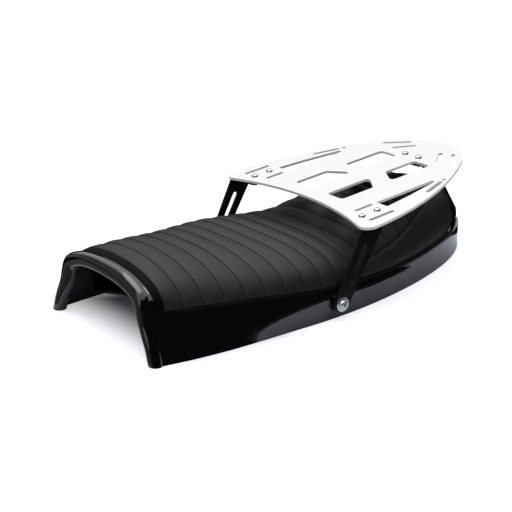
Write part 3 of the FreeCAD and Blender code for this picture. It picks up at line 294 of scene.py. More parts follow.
def vinyl_finish():
    """Grained vinyl with painted shade along its front end: a dull black band with less sheen
    stands for the cover's shadowed front face.
    """
    paint = Paint("satin_vinyl")
    colour = bpy.context.scene.seat_finish.vinyl
    along = paint.node("ShaderNodeSeparateXYZ", {"Vector": paint.place()}).outputs["X"]
    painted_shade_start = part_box("cushion")[1][0] - PAINTED_SHADE_WIDTH
    painted_shade = paint.between(along, 0.0, 1.0, painted_shade_start - PAINTED_SHADE_EDGE, painted_shade_start)
    cloud = paint.noise(14.0, 4.0)
    grain = paint.cells(900.0)
    pores = paint.noise(2600.0, 2.0)
    soft = paint.noise(55.0, 3.0)
    skin = paint.blend(cloud, shade(colour, 0.82), shade(colour, 1.22))
    # Painted shade: the base colour turns black along the cover's front end.
    paint.set(Base_Color=paint.blend(painted_shade, skin, PAINTED_SHADE_BLACK))
    paint.set(Roughness=paint.between(cloud, 0.44, 0.54, 0.3, 0.7))
    waves = paint.bump(soft, 0.25, 0.0012)
    leather = paint.bump(grain, 0.28, 0.00025, waves)
    paint.set(Normal=paint.bump(pores, 0.10, 0.0001, leather))
    # Painted shade: the sheen drops along the same front band.
    paint.set(Specular_IOR_Level=paint.between(painted_shade, 0.26, 0.04))
    return paint.material


def thread_finish():
    paint = Paint("black_thread")
    twist = paint.noise(3200.0, 1.0)
    paint.set(Base_Color=paint.blend(twist, (0.002, 0.002, 0.002), (0.008, 0.008, 0.008)))
    paint.set(Roughness=0.85, Specular_IOR_Level=0.1)
    return paint.material


def pan_finish():
    paint = Paint("gloss_pan")
    colour = bpy.context.scene.seat_finish.pan
    flow = paint.noise(6.0, 2.0)
    peel = paint.noise(220.0, 2.0)
    paint.set(Base_Color=paint.blend(flow, shade(colour, 0.85), shade(colour, 1.25)))
    paint.set(Roughness=paint.between(flow, 0.10, 0.16, 0.3, 0.7))
    paint.set(Coat_Weight=0.8, Coat_Roughness=0.04)
    paint.set(Normal=paint.bump(peel, 0.03, 0.0004))
    return paint.material


def trim_finish():
    paint = Paint("trim_bead")
    skin = paint.noise(400.0, 3.0)
    paint.set(Base_Color=paint.blend(skin, (0.002, 0.002, 0.002), (0.005, 0.005, 0.005)))
    paint.set(Roughness=paint.between(skin, 0.55, 0.70), Specular_IOR_Level=0.08)
    paint.set(Normal=paint.bump(skin, 0.08, 0.0002))
    return paint.material


def alloy_finish():
    paint = Paint("brushed_alloy")
    colour = bpy.context.scene.seat_finish.alloy
    lines = paint.noise(60.0, 4.0, paint.place(scale=(0.6, 40.0, 40.0)))
    cloud = paint.noise(9.0, 3.0)
    paint.set(Base_Color=paint.blend(cloud, shade(colour, 0.965), shade(colour, 1.02)))
    paint.set(Metallic=1.0, Roughness=paint.between(lines, 0.16, 0.26))
    paint.set(Normal=paint.bump(lines, 0.04, 0.0002))
    return paint.material


def cut_edge_finish():
    paint = Paint("cut_edge")
    colour = bpy.context.scene.seat_finish.cut_edge
    bands = paint.noise(500.0, 3.0, paint.place(scale=(1.0, 1.0, 0.15)))
    paint.set(Base_Color=paint.blend(bands, shade(colour, 0.7), shade(colour, 1.25)))
    paint.set(Metallic=0.1, Roughness=paint.between(bands, 0.45, 0.65))
    paint.set(Normal=paint.bump(bands, 0.15, 0.0003))
    return paint.material


def coat_finish():
    paint = Paint("powder_coat")
    colour = bpy.context.scene.seat_finish.coat
    peel = paint.noise(700.0, 2.0)
    cloud = paint.noise(20.0, 3.0)
    paint.set(Base_Color=paint.blend(cloud, shade(colour, 0.8), shade(colour, 1.2)))
    paint.set(Roughness=paint.between(cloud, 0.36, 0.46, 0.3, 0.7), Specular_IOR_Level=0.25)
    paint.set(Normal=paint.bump(peel, 0.12, 0.0003))
    return paint.material


def zinc_finish():
    paint = Paint("bright_zinc")
    colour = bpy.context.scene.seat_finish.zinc
    grain = paint.noise(900.0, 3.0)
    paint.set(Base_Color=paint.blend(grain, shade(colour, 0.9), shade(colour, 1.05)))
    paint.set(Metallic=1.0, Roughness=paint.between(grain, 0.18, 0.30))
    paint.set(Normal=paint.bump(grain, 0.04, 0.0001))
    return paint.material


def rubber_finish():
    paint = Paint("buffer_rubber")
    dust = paint.noise(120.0, 4.0)
    paint.set(Base_Color=paint.blend(dust, (0.012, 0.012, 0.012), (0.03, 0.03, 0.03)))
    paint.set(Roughness=paint.between(dust, 0.6, 0.85))
    paint.set(Normal=paint.bump(dust, 0.2, 0.0004))
    return paint.material


def moulding_finish():
    paint = Paint("moulded_base")
    spark = paint.cells(1400.0)
    cloud = paint.noise(12.0, 3.0)
    paint.set(Base_Color=paint.blend(cloud, (0.014, 0.014, 0.014), (0.024, 0.024, 0.024)))
    paint.set(Roughness=paint.between(cloud, 0.5, 0.65))
    paint.set(Normal=paint.bump(spark, 0.25, 0.0002))
    return paint.material


def brass_finish():
    paint = Paint("turned_brass")
    rings = paint.noise(1500.0, 2.0, paint.place(scale=(0.2, 0.2, 1.0)))
    paint.set(Base_Color=paint.blend(rings, (0.60, 0.43, 0.17), (0.78, 0.60, 0.30)))
    paint.set(Metallic=1.0, Roughness=paint.between(rings, 0.25, 0.4))
    paint.set(Normal=paint.bump(rings, 0.05, 0.0001))
    return paint.material


# Cushion: its solid is scanned section by section, then sewn and swollen

SCAN_LEVEL = 20 * MM
SCAN_STEP = 1 * MM
SCAN_ANGLES = 120
ANGLE_HALVINGS = 22
MOST_HITS = 8
FAR = 0.5
HAIR = 0.05 * MM
TINY = 1e-9
DECK_CLEARANCE = 0.4 * MM
NOSE_KEPT = 0.25
RIM_SEAM = 0.5
DEEPEST = 0.6
ROWS_AHEAD = (0.0, 0.02, 0.06, 0.13, 0.22, 0.33, 0.46, 0.60, 0.74, 0.87, 0.95)
ROWS_PER_PLEAT = (0.0, 0.055, 0.14, 0.30, 0.5, 0.70, 0.86, 0.945)
PLAIN_STEP = 5 * MM
VALLEY_REACH = 8 * MM
VALLEY_LEAST = 0.4 * MM
VALLEY_APART = 12 * MM
PANEL_POWER = 1.77
PANEL_ROUND = 0.625
PANEL_FADE = 4 * MM
LINE_MARGIN = 1 * MM
LEAST_POINTS = 4
SEAM_STEPS = 60
SEAM_REACH = 3
HUMP_SEAM_DEPTH = 1.8 * MM
HUMP_SEAM_WIDTH = 2.4 * MM
STITCH_SEGMENTS = 6
STITCH_RINGS = 5
THREAD_LIFT = 0.5
HELD_ROWS = 2
CLOTH_QUALITY = 6
COVER_MASS = 0.002
COVER_TENSION = 8
COVER_SHEAR = 3
COVER_BENDING = 0.002
SWELL_FRAMES = 20


def across(angle):
    """Direction across the seat at an angle over the left."""
    return Vector((0, math.cos(angle), math.sin(angle)))


def hits(tree, start, direction):
    """Every place where a ray meets the skin, in order."""
    found = []
    at = start.copy()
    while len(found) < MOST_HITS:
        place = tree.ray_cast(at, direction, FAR)[0]
        if place is None:
            return found
        found.append(place)
        at = place + direction * HAIR
    return found


class CushionScan:
    """Crown and sections of the cushion's solid."""

    def __init__(self):
        self.tree = node_tree("cushion")
        low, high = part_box("cushion")
        self.front = high[0] - HAIR
        self.tail = low[0] + HAIR
        self.crown = []
        self.arc = []
        travelled = 0.0
        steps = int((self.front - self.tail) / SCAN_STEP)
        for step in range(steps + 1):
            x = self.front - (self.front - self.tail) * step / steps
            found = hits(self.tree, Vector((x, 0, FAR)), Vector((0, 0, -1)))
            if not found:
                continue
            if self.crown:
                travelled += (found[0] - self.crown[-1]).length
            self.crown.append(found[0])
            self.arc.append(travelled)

    def crown_at(self, distance):
        """Place on the crown at a distance along it from the front."""
        for i in range(1, len(self.arc)):
            if self.arc[i] >= distance:
                share = (distance - self.arc[i - 1]) / max(self.arc[i] - self.arc[i - 1], TINY)
                return self.crown[i - 1].lerp(self.crown[i], share)
        return self.crown[-1]

    def valleys(self):
        """Distances along the crown at which the solid dips between two pleats."""
        dips = []
        count = int((self.arc[-1] - 2 * VALLEY_REACH) / SCAN_STEP)
        for step in range(count):
            distance = VALLEY_REACH + step * SCAN_STEP
            place = self.crown_at(distance)
            ahead = self.crown_at(distance - VALLEY_REACH)
            behind = self.crown_at(distance + VALLEY_REACH)
            along = (behind - ahead).normalized()
            up = Vector((along.z, 0, -along.x))
            dips.append((((ahead + behind) / 2 - place).dot(up), distance))
        found = []
        for dip, distance in sorted(dips, reverse=True):
            if dip < VALLEY_LEAST:
                break
            if all(abs(distance - other) > VALLEY_APART for other in found):
                found.append(distance)
        return sorted(found)

    def lowest_angle(self, axis):
        """Angle over the horizontal at which a ray from the axis first meets the solid."""
        low = 0.0
        high = math.pi / 2
        for _ in range(ANGLE_HALVINGS):
            middle = (low + high) / 2
            if hits(self.tree, axis, across(middle)):
                high = middle
            else:
                low = middle
        return high

    def section(self, x, columns):
        """Outer and inner points from the left edge over the crown to the right edge."""
        axis = Vector((x, 0, SCAN_LEVEL))
        lowest = self.lowest_angle(axis)
        outer = []
        for step in range(SCAN_ANGLES + 1):
            angle = lowest + (math.pi / 2 - lowest) * step / SCAN_ANGLES
            found = hits(self.tree, axis, across(angle))
            if found:
                outer.append(found[-1])
        half = spread(outer, columns // 2 + 1)
        half[-1].y = 0.0
        inner = []
        for place in half:
            found = hits(self.tree, axis, (place - axis).normalized())
            inner.append(found[0] if found else place.copy())
        inner[-1].y = 0.0
        return mirrored(half), mirrored(inner)


def spread(points, count):
    """Points at even distances along a line."""
    marks = [0.0]
    for a, b in zip(points, points[1:]):
        marks.append(marks[-1] + (b - a).length)
    placed = []
    span = 0
    for step in range(count):
        target = marks[-1] * step / (count - 1)
        while span < len(points) - 2 and marks[span + 1] < target:
            span += 1
        share = (target - marks[span]) / max(marks[span + 1] - marks[span], TINY)
        placed.append(points[span].lerp(points[span + 1], min(max(share, 0.0), 1.0)))
    return placed


def mirrored(half):
    return half + [Vector((p.x, -p.y, p.z)) for p in reversed(half[:-1])]


def pleat_half(x):
    """Half width of the pleated top at a place along the seat."""
    cushion = bpy.context.scene.seat_cushion
    share = (FRONT - x - cushion.panel_start) / (cushion.panel_end - cushion.panel_start)
    if share <= 0:
        return FAR
    if share >= 1:
        return -FAR
    return cushion.panel_half * (1 - share ** PANEL_POWER) ** PANEL_ROUND


def smooth_step(value):
    value = min(max(value, 0.0), 1.0)
    return value * value * (3 - 2 * value)


def cover_rows(scan):
    """Stations along the crown, with each one's distance and whether it is a sewn line."""
    seams = scan.valleys()
    rows = [(seams[0] * share, False) for share in ROWS_AHEAD]
    for seam, following in zip(seams, seams[1:]):
        for share in ROWS_PER_PLEAT:
            rows.append((seam + (following - seam) * share, share == 0.0))
    rows.append((seams[-1], True))
    rest = scan.arc[-1] - seams[-1]
    count = int(rest / PLAIN_STEP)
    for step in range(1, count + 1):
        rows.append((seams[-1] + rest * step / count, False))
    return rows


def clear_of_deck(top, under):
    """Underside of the cover, a little above the solid's own where the cover is thick enough."""
    through = top - under
    if through.length > 2 * DECK_CLEARANCE:
        return under + through.normalized() * DECK_CLEARANCE
    return under


def cover_mesh(scan, cushion):
    """Top and underside of the cover on an even grid, pulled in along the sewn lines."""
    rows = cover_rows(scan)
    columns = cushion.columns
    outer = []
    inner = []
    for distance, sewn in rows:
        top, under = scan.section(scan.crown_at(distance).x, columns)
        roll = math.sqrt(max(0.0, 1 - (1 - min(distance / cushion.nose_round, 1.0)) ** 2))
        keep = NOSE_KEPT + (1 - NOSE_KEPT) * roll
        outer.append([u.lerp(t, keep) for t, u in zip(top, under)])
        inner.append([clear_of_deck(t, u) for t, u in zip(top, under)])
    seams = [distance for distance, sewn in rows if sewn]
    normals = grid_normals(outer)
    for r, (distance, sewn) in enumerate(rows):
        near = min(abs(distance - seam) for seam in seams)
        pull = math.exp(-(near / cushion.seam_width) ** 2)
        for c in range(columns):
            place = outer[r][c]
            pleated = smooth_step((pleat_half(place.x) - abs(place.y)) / PANEL_FADE)
            free = smooth_step(min(c, columns - 1 - c) / 2)
            free *= smooth_step(distance / cushion.nose_round)
            depth = cushion.seam_depth * pull * pleated * max(free, RIM_SEAM)
            depth += cushion.slack * (1 - pull * pleated) * free
            most = DEEPEST * (place - inner[r][c]).length
            outer[r][c] = place - normals[r][c] * min(depth, most)
    return rows, outer, inner


def grid_normals(grid):
    normals = []
    count = len(grid)
    columns = len(grid[0])
    for r in range(count):
        line = []
        for c in range(columns):
            along = grid[min(r + 1, count - 1)][c] - grid[max(r - 1, 0)][c]
            beside = grid[r][min(c + 1, columns - 1)] - grid[r][max(c - 1, 0)]
            line.append(beside.cross(along).normalized())
        normals.append(line)
    middle = normals[count // 2][columns // 2]
    if middle.z < 0:
        normals = [[-n for n in line] for line in normals]
    return normals


def close_grid(outer, inner):
    """Vertices and faces of a cover closed by its underside."""
    count = len(outer)
    columns = len(outer[0])
    verts = [p for line in outer for p in line] + [p for line in inner for p in line]
    under = count * columns
    faces = []
    for r in range(count - 1):
        for c in range(columns - 1):
            a = r * columns + c
            quad = (a, a + columns, a + columns + 1, a + 1)
            faces.append(quad)
            faces.append(tuple(under + i for i in reversed(quad)))
    rim = [r * columns for r in range(count)]
    rim += [(count - 1) * columns + c for c in range(1, columns)]
    rim += [r * columns + columns - 1 for r in range(count - 2, -1, -1)]
    rim += [c for c in range(columns - 2, 0, -1)]
    for a, b in zip(rim, rim[1:] + rim[:1]):
        faces.append((a, under + a, under + b, b))
    return verts, faces


def swell(rows, outer, cushion):
    """Lets the top of the cover swell between its sewn lines, each point up to a limit."""
    count = len(outer)
    columns = len(outer[0])
    start = [place.copy() for line in outer for place in line]
    quads = [(a, a + columns, a + columns + 1, a + 1)
             for r in range(count - 1) for a in range(r * columns, (r + 1) * columns - 1)]
    top = mesh_object("cover_top", start, quads)
    held = []
    for r, (distance, sewn) in enumerate(rows):
        for c, place in enumerate(outer[r]):
            rim = c in (0, columns - 1) or not HELD_ROWS <= r < count - HELD_ROWS
            if rim or sewn and abs(place.y) < pleat_half(place.x):
                held.append(r * columns + c)
    top.vertex_groups.new(name="held").add(held, 1.0, "REPLACE")
    cloth = top.modifiers.new("foam", "CLOTH")
    cloth.settings.quality = CLOTH_QUALITY
    cloth.settings.mass = COVER_MASS
    cloth.settings.tension_stiffness = COVER_TENSION
    cloth.settings.compression_stiffness = COVER_TENSION
    cloth.settings.shear_stiffness = COVER_SHEAR
    cloth.settings.bending_stiffness = COVER_BENDING
    cloth.settings.use_pressure = True
    cloth.settings.uniform_pressure_force = cushion.pressure
    cloth.settings.vertex_group_mass = "held"
    cloth.settings.pin_stiffness = 1.0
    cloth.settings.effector_weights.gravity = 0
    cloth.collision_settings.use_collision = False
    cloth.collision_settings.use_self_collision = False
    cloth.point_cache.frame_start = 1
    cloth.point_cache.frame_end = SWELL_FRAMES
    scene = bpy.context.scene
    for number in range(1, SWELL_FRAMES + 1):
        scene.frame_set(number)
    mesh = bake_modifiers(top)
    scene.frame_set(1)
    swollen = []
    for vert, place in zip(mesh.vertices, start):
        move = vert.co - place
        swollen.append(place + move * min(1.0, cushion.swell_limit / max(move.length, TINY)))
    bpy.data.objects.remove(top)
    return [swollen[r * columns:(r + 1) * columns] for r in range(count)]


def subdivide(obj):
    levels = obj.modifiers.new("smooth", "SUBSURF")
    levels.levels = 1
    levels.render_levels = 1
    bake_modifiers(obj)


def sewn_lines(rows, outer):
    """Places along each sewn line, by row, inside the pleated top."""
    lines = []
    for r, (distance, sewn) in enumerate(rows):
        if not sewn:
            continue
        line = [p for p in outer[r] if abs(p.y) < pleat_half(p.x) - LINE_MARGIN]
        if len(line) >= LEAST_POINTS:
            lines.append(line)
    return lines


def hump_seam_line(tree):
    """Seam between the pleated top and the plain tail, laid on the cover."""
    cushion = bpy.context.scene.seat_cushion
    left = []
    for step in range(1, SEAM_STEPS):
        share = math.sin(math.pi / 2 * step / SEAM_STEPS)
        x = FRONT - cushion.panel_start - (cushion.panel_end - cushion.panel_start) * share
        left.append(Vector((x, pleat_half(x), 0)))
    tip = Vector((FRONT - cushion.panel_end, 0, 0))
    plan = spread(left + [tip], 2 * SEAM_STEPS)
    plan += [Vector((p.x, -p.y, 0)) for p in reversed(plan[:-1])]
    line = []
    for place in plan:
        found = hits(tree, Vector((place.x, place.y, FAR)), Vector((0, 0, -1)))
        if found:
            line.append(found[0])
    return line


def pull_seam(mesh, line, depth, width):
    """Pulls the cover in along a seam."""
    marks = KDTree(len(line))
    for i, place in enumerate(line):
        marks.insert(place, i)
    marks.balance()
    moved = []
    for vert in mesh.vertices:
        gap = marks.find(vert.co)[2]
        if gap < SEAM_REACH * width:
            moved.append((vert, vert.normal * (depth * math.exp(-(gap / width) ** 2))))
    for vert, step in moved:
        vert.co -= step
    mesh.update()


def stitch_tree(material):
    """Node tree that lays a thread stitch at even steps along every edge line."""
    tree = bpy.data.node_groups.new("thread_stitches", "GeometryNodeTree")
    face = tree.interface
    face.new_socket(name="Lines", in_out="INPUT", socket_type="NodeSocketGeometry")
    for name in ("Thread Radius", "Stitch Length", "Stitch Pitch"):
        face.new_socket(name=name, in_out="INPUT", socket_type="NodeSocketFloat")
    face.new_socket(name="Stitches", in_out="OUTPUT", socket_type="NodeSocketGeometry")
    link = tree.links.new
    start = tree.nodes.new("NodeGroupInput")
    curve = tree.nodes.new("GeometryNodeMeshToCurve")
    points = tree.nodes.new("GeometryNodeCurveToPoints")
    points.mode = "LENGTH"
    ball = tree.nodes.new("GeometryNodeMeshUVSphere")
    ball.inputs["Segments"].default_value = STITCH_SEGMENTS
    ball.inputs["Rings"].default_value = STITCH_RINGS
    ball.inputs["Radius"].default_value = 1.0
    half = tree.nodes.new("ShaderNodeMath")
    half.operation = "MULTIPLY"
    half.inputs[1].default_value = 0.5
    scale = tree.nodes.new("ShaderNodeCombineXYZ")
    place = tree.nodes.new("GeometryNodeInstanceOnPoints")
    solid = tree.nodes.new("GeometryNodeRealizeInstances")
    finish = tree.nodes.new("GeometryNodeSetMaterial")
    finish.inputs["Material"].default_value = material
    end = tree.nodes.new("NodeGroupOutput")
    link(start.outputs["Lines"], curve.inputs["Mesh"])
    link(curve.outputs["Curve"], points.inputs["Curve"])
    link(start.outputs["Stitch Pitch"], points.inputs["Length"])
    link(start.outputs["Stitch Length"], half.inputs[0])
    link(start.outputs["Thread Radius"], scale.inputs["X"])
    link(start.outputs["Thread Radius"], scale.inputs["Y"])
    link(half.outputs["Value"], scale.inputs["Z"])
    link(points.outputs["Points"], place.inputs["Points"])
    link(points.outputs["Rotation"], place.inputs["Rotation"])
    link(ball.outputs["Mesh"], place.inputs["Instance"])
    link(scale.outputs["Vector"], place.inputs["Scale"])
    link(place.outputs["Instances"], solid.inputs["Geometry"])
    link(solid.outputs["Geometry"], finish.inputs["Geometry"])
    link(finish.outputs["Geometry"], end.inputs["Stitches"])
    return tree


def set_input(modifier, name, value):
    for item in modifier.node_group.interface.items_tree:
        if item.item_type == "SOCKET" and item.in_out == "INPUT" and item.name == name:
            modifier[item.identifier] = value
            return
    raise ValueError("no input named " + name)


def lay_stitches(name, lines, tree, cushion):
    verts = []
    edges = []
    for line in lines:
        start = len(verts)
        verts += line
        edges += [(start + i, start + i + 1) for i in range(len(line) - 1)]
    obj = mesh_object(name, verts, [], edges)
    modifier = obj.modifiers.new("stitches", "NODES")
    modifier.node_group = tree
    set_input(modifier, "Thread Radius", cushion.thread_radius)
    set_input(modifier, "Stitch Length", cushion.stitch_length)
    set_input(modifier, "Stitch Pitch", cushion.stitch_pitch)
    bake_modifiers(obj)
    shade_smooth(obj.data)
    return obj


def on_cover(tree, line, lift):
    """A line laid on the finished cover and lifted by a little."""
    placed = []
    for place in line:
        near, normal, _, _ = tree.find_nearest(place)
        placed.append(near + normal * lift)
    return placed


# Collar: the broad moulded band inside the arch, laid on the pan's rolled lip

LIP_RADIUS = 10 * MM
LIP_LEAN = 4.0 / 107.0
COLLAR_STEPS = 72
COLLAR_FLOOR = 0.5 * MM
COLLAR_INSET = 0.4 * MM
# Heights between which the band grows out of the lip.
COLLAR_FADE = (25 * MM, 65 * MM)
# Section of the band round the lip's middle, as (outwards, forwards) in millimetres.
COLLAR_BAND = (
    (7.4, 6.3), (5.2, 8.9), (0.0, 10.6), (-5.0, 10.3), (-9.5, 8.2), (-13.0, 4.5),
    (-15.0, 0.0), (-15.0, -4.0), (-12.5, -6.5), (-7.0, -5.0), (2.0, 0.0),
)


def lip_middle():
    """Middle of the pan's rolled lip, from the left foot over the arch to the right."""
    tree = node_tree("seat_shell")
    axis = Vector((FRONT - LIP_RADIUS, 0, COLLAR_FLOOR))
    middle = []
    for step in range(COLLAR_STEPS + 1):
        found = hits(tree, axis, across(math.pi * step / COLLAR_STEPS))
        place = (found[0] + found[-1]) / 2
        place.x -= LIP_LEAN * place.z
        middle.append(place)
    return spread(middle, COLLAR_STEPS + 1)


def collar_mesh():
    middle = lip_middle()
    last = len(middle) - 1
    start, stop = COLLAR_FADE
    verts = []
    for i, place in enumerate(middle):
        along = middle[min(i + 1, last)] - middle[max(i - 1, 0)]
        out = Vector((0, along.z, -along.y)).normalized()
        if i in (0, last):
            out = Vector((0, math.copysign(1, place.y), 0))
        share = smooth_step((place.z - start) / (stop - start))
        for a, b in COLLAR_BAND:
            spot = Vector((b, 0, 0)) * MM + out * (a * MM)
            on_lip = spot.normalized() * min(spot.length, LIP_RADIUS - COLLAR_INSET)
            verts.append(place + on_lip.lerp(spot, share))
    count = len(COLLAR_BAND)
    faces = [tuple(range(count)), tuple(last * count + i for i in range(count))]
    for i in range(last):
        for k in range(count):
            a = i * count + k
            b = i * count + (k + 1) % count
            faces.append((a, b, b + count, a + count))
    collar = mesh_object("collar_band", verts, faces)
    work = bmesh.new()
    work.from_mesh(collar.data)
    bmesh.ops.recalc_face_normals(work, faces=work.faces)
    work.to_mesh(collar.data)
    work.free()
    subdivide(collar)
    shade_smooth(collar.data)
    return collar


# Operators

WELD = 0.005 * MM
LEVEL_SHARE = 0.5


class SEAT_OT_cushion(bpy.types.Operator):
    """Builds the pleated cushion and its stitches"""
    bl_idname = "seat.cushion"
    bl_label = "Cushion"

    def execute(self, context):
        cushion = context.scene.seat_cushion
        scan = CushionScan()
        rows, outer, inner = cover_mesh(scan, cushion)
        outer = swell(rows, outer, cushion)
        verts, faces = close_grid(outer, inner)
        cover = mesh_object("cushion_cover", verts, faces)
        subdivide(cover)
        shade_smooth(cover.data)
        hump_seam = hump_seam_line(mesh_tree(cover.data))
        pull_seam(cover.data, hump_seam, HUMP_SEAM_DEPTH, HUMP_SEAM_WIDTH)
        skin = mesh_tree(cover.data)
        lift = THREAD_LIFT * cushion.thread_radius
        lines = [on_cover(skin, line, lift) for line in sewn_lines(rows, outer) + [hump_seam]]
        thread = thread_finish()
        stitches = lay_stitches("cushion_stitches", lines, stitch_tree(thread), cushion)
        put_on(cover, vinyl_finish(), "vinyl", "cushion")
        put_on(stitches, thread, "vinyl")
        return {"FINISHED"}


class SEAT_OT_pan(bpy.types.Operator):
    """Finishes the moulded pan with its collar and the trim round the cushion"""
    bl_idname = "seat.pan"
    bl_label = "Pan"

    def execute(self, context):
        gloss = pan_finish()
        finish_nodes(gloss, "seat_shell")
        put_on(collar_mesh(), gloss, "pan_gloss")
        finish_nodes(trim_finish(), "edge_trim")
        return {"FINISHED"}


class SEAT_OT_rack(bpy.types.Operator):
    """Finishes the rack plate, with bright faces and cut edges"""
    bl_idname = "seat.rack"
    bl_label = "Rack"

    def execute(self, context):
        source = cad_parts["rack_plate"].data
        plate = mesh_object("rack_finish", [v.co for v in source.vertices],
                            [tuple(p.vertices) for p in source.polygons])
        work = bmesh.new()
        work.from_mesh(plate.data)
        bmesh.ops.remove_doubles(work, verts=work.verts, dist=WELD)
        up = max(work.faces, key=lambda face: face.calc_area()).normal.copy()
        for face in work.faces:
            face.material_index = 0 if abs(face.normal.dot(up)) > LEVEL_SHARE else 1
        work.to_mesh(plate.data)
        work.free()
        put_on(plate, [alloy_finish(), cut_edge_finish()], "rack_alloy", "rack_plate")
        return {"FINISHED"}


class SEAT_OT_brackets(bpy.types.Operator):
    """Finishes the coated brackets and the rear strap"""
    bl_idname = "seat.brackets"
    bl_label = "Brackets"

    def execute(self, context):
        finish_nodes(coat_finish(), "left_bracket", "right_bracket", "rear_strap")
        return {"FINISHED"}


class SEAT_OT_fasteners(bpy.types.Operator):
    """Finishes the screws, nuts and washers"""
    bl_idname = "seat.fasteners"
    bl_label = "Fasteners"

    def execute(self, context):
        finish_nodes(zinc_finish(), "rack_screws", "rack_nuts", "strap_bolts", "strap_nuts",
                     "bracket_washers", "bracket_bolts", "bracket_nuts", "buffer_screws",
                     "buffer_nuts")
        return {"FINISHED"}


class SEAT_OT_underside(bpy.types.Operator):
    """Finishes the base plate, its buffers and its threaded inserts"""
    bl_idname = "seat.underside"
    bl_label = "Underside"

    def execute(self, context):
        finish_nodes(moulding_finish(), "base_plate")
        finish_nodes(rubber_finish(), "rubber_buffers")
        finish_nodes(brass_finish(), "frame_inserts")
        return {"FINISHED"}


# Stage

FLAG_RADIUS = 4.0
FLAG_GREY = 0.004
FLAG_SIDES = 72
# Each card round the set, as (middle of its arc, half its arc, height), all in degrees.
FLAG_CARDS = ((100, 100, 40), (232, 60, 17))
FRONT_CARDS = ((318, 46, 62),)
FRONT_RADIUS = 3.6
FRONT_GREY = 0.36
CARD_GAP = 0.072
TAIL_CLOSER = 0.5
CARD_STEPS = 24
NOSE_GREY = 0.15
NOSE_GAP = 0.015
PAN_HALF = 147 * MM
TAIL_START = 267 * MM
FLOOR_HALF = 12.0
FLOOR_COLOUR = (0.78, 0.82, 0.91, 1)
FLOOR_GLOW = 0.64
SHADE_EDGE = 0.045
SHADE_BACK = 0.052
SHADE_RUN = 0.2
SOFTBOX_SIZE = (2.4, 2.0)
SOFTBOX_PLACE = (0.1, -0.5, 2.3)
SOFTBOX_BACK = (0.05, -0.3, 1)
SENSOR_WIDTH = 36.0
CLIP_END = 60.0


def floor_finish():
    """White floor that keeps the shadow under the seat and little of the one round it."""
    material = bpy.data.materials.new("studio_floor")
    material.use_nodes = True
    tree = material.node_tree
    tree.nodes.clear()
    link = tree.links.new

    def math_node(operation, *inputs):
        node = tree.nodes.new("ShaderNodeMath")
        node.operation = operation
        for socket, value in zip(node.inputs, inputs):
            if isinstance(value, bpy.types.NodeSocket):
                link(value, socket)
            else:
                socket.default_value = value
        return node.outputs["Value"]

    place = tree.nodes.new("ShaderNodeSeparateXYZ")
    link(tree.nodes.new("ShaderNodeTexCoord").outputs["Object"], place.inputs["Vector"])
    ahead = math_node("SUBTRACT", place.outputs["X"], FRONT - SHADE_BACK)
    behind = math_node("SUBTRACT", FRONT - SHADE_RUN, place.outputs["X"])
    beside = math_node("SUBTRACT", math_node("ABSOLUTE", place.outputs["Y"]), PAN_HALF)
    outside = tree.nodes.new("ShaderNodeMapRange")
    outside.interpolation_type = "SMOOTHSTEP"
    outside.inputs["From Min"].default_value = -SHADE_EDGE
    outside.inputs["From Max"].default_value = SHADE_EDGE
    outside.inputs["To Max"].default_value = FLOOR_GLOW
    around = math_node("MAXIMUM", math_node("MAXIMUM", ahead, behind), beside)
    link(around, outside.inputs["Value"])
    matt = tree.nodes.new("ShaderNodeBsdfDiffuse")
    matt.inputs["Color"].default_value = FLOOR_COLOUR
    glow = tree.nodes.new("ShaderNodeEmission")
    rays = tree.nodes.new("ShaderNodeLightPath")
    both = tree.nodes.new("ShaderNodeAddShader")
    end = tree.nodes.new("ShaderNodeOutputMaterial")
    seen = math_node("MULTIPLY", rays.outputs["Is Camera Ray"], outside.outputs["Result"])
    link(seen, glow.inputs["Strength"])
    link(matt.outputs["BSDF"], both.inputs[0])
    link(glow.outputs["Emission"], both.inputs[1])
    link(both.outputs["Shader"], end.inputs["Surface"])
    return material


def studio_world(fill):
    """Soft light all round, white to the camera and in reflections."""
    world = bpy.data.worlds.new("studio")
    world.use_nodes = True
    tree = world.node_tree
    back = tree.nodes["Background"]
    back.inputs["Color"].default_value = (1, 1, 1, 1)
    rays = tree.nodes.new("ShaderNodeLightPath")
    seen = rays.outputs["Is Camera Ray"]
    for name in ("Is Glossy Ray", "Is Transmission Ray"):
        more = tree.nodes.new("ShaderNodeMath")
        more.operation = "MAXIMUM"
        tree.links.new(seen, more.inputs[0])
        tree.links.new(rays.outputs[name], more.inputs[1])
        seen = more.outputs["Value"]
    strength = tree.nodes.new("ShaderNodeMapRange")
    strength.inputs["To Min"].default_value = fill
    strength.inputs["To Max"].default_value = 1.0
    tree.links.new(seen, strength.inputs["Value"])
    tree.links.new(strength.outputs["Result"], back.inputs["Strength"])
    bpy.context.scene.world = world


def card(name, verts, faces, grey):
    """Card that only reflections see."""
    obj = mesh_object(name, verts, faces)
    material = bpy.data.materials.new(name)
    material.use_nodes = True
    shader = material.node_tree.nodes["Principled BSDF"]
    shader.inputs["Base Color"].default_value = (grey, grey, grey, 1)
    shader.inputs["Roughness"].default_value = 1.0
    shader.inputs["Specular IOR Level"].default_value = 0.0
    obj.data.materials.append(material)
    obj.visible_camera = False
    obj.visible_diffuse = False
    obj.visible_transmission = False
    obj.visible_shadow = False


def side_cards(name, cards, radius, grey):
    """Upright cards round the set."""
    verts = []
    for i in range(FLAG_SIDES):
        turn = 2 * math.pi * i / FLAG_SIDES
        rise = 0.0
        for middle, half, height in cards:
            away = abs((math.degrees(turn) - middle + 180) % 360 - 180)
            rise = max(rise, height * smooth_step(2 * (1 - away / half)))
        x = radius * math.cos(turn)
        y = radius * math.sin(turn)
        verts += [(x, y, HAIR), (x, y, 2 * HAIR + radius * math.tan(math.radians(rise)))]
    count = len(verts)
    faces = [(i, (i + 2) % count, (i + 3) % count, i + 1) for i in range(0, count, 2)]
    card(name, verts, faces, grey)


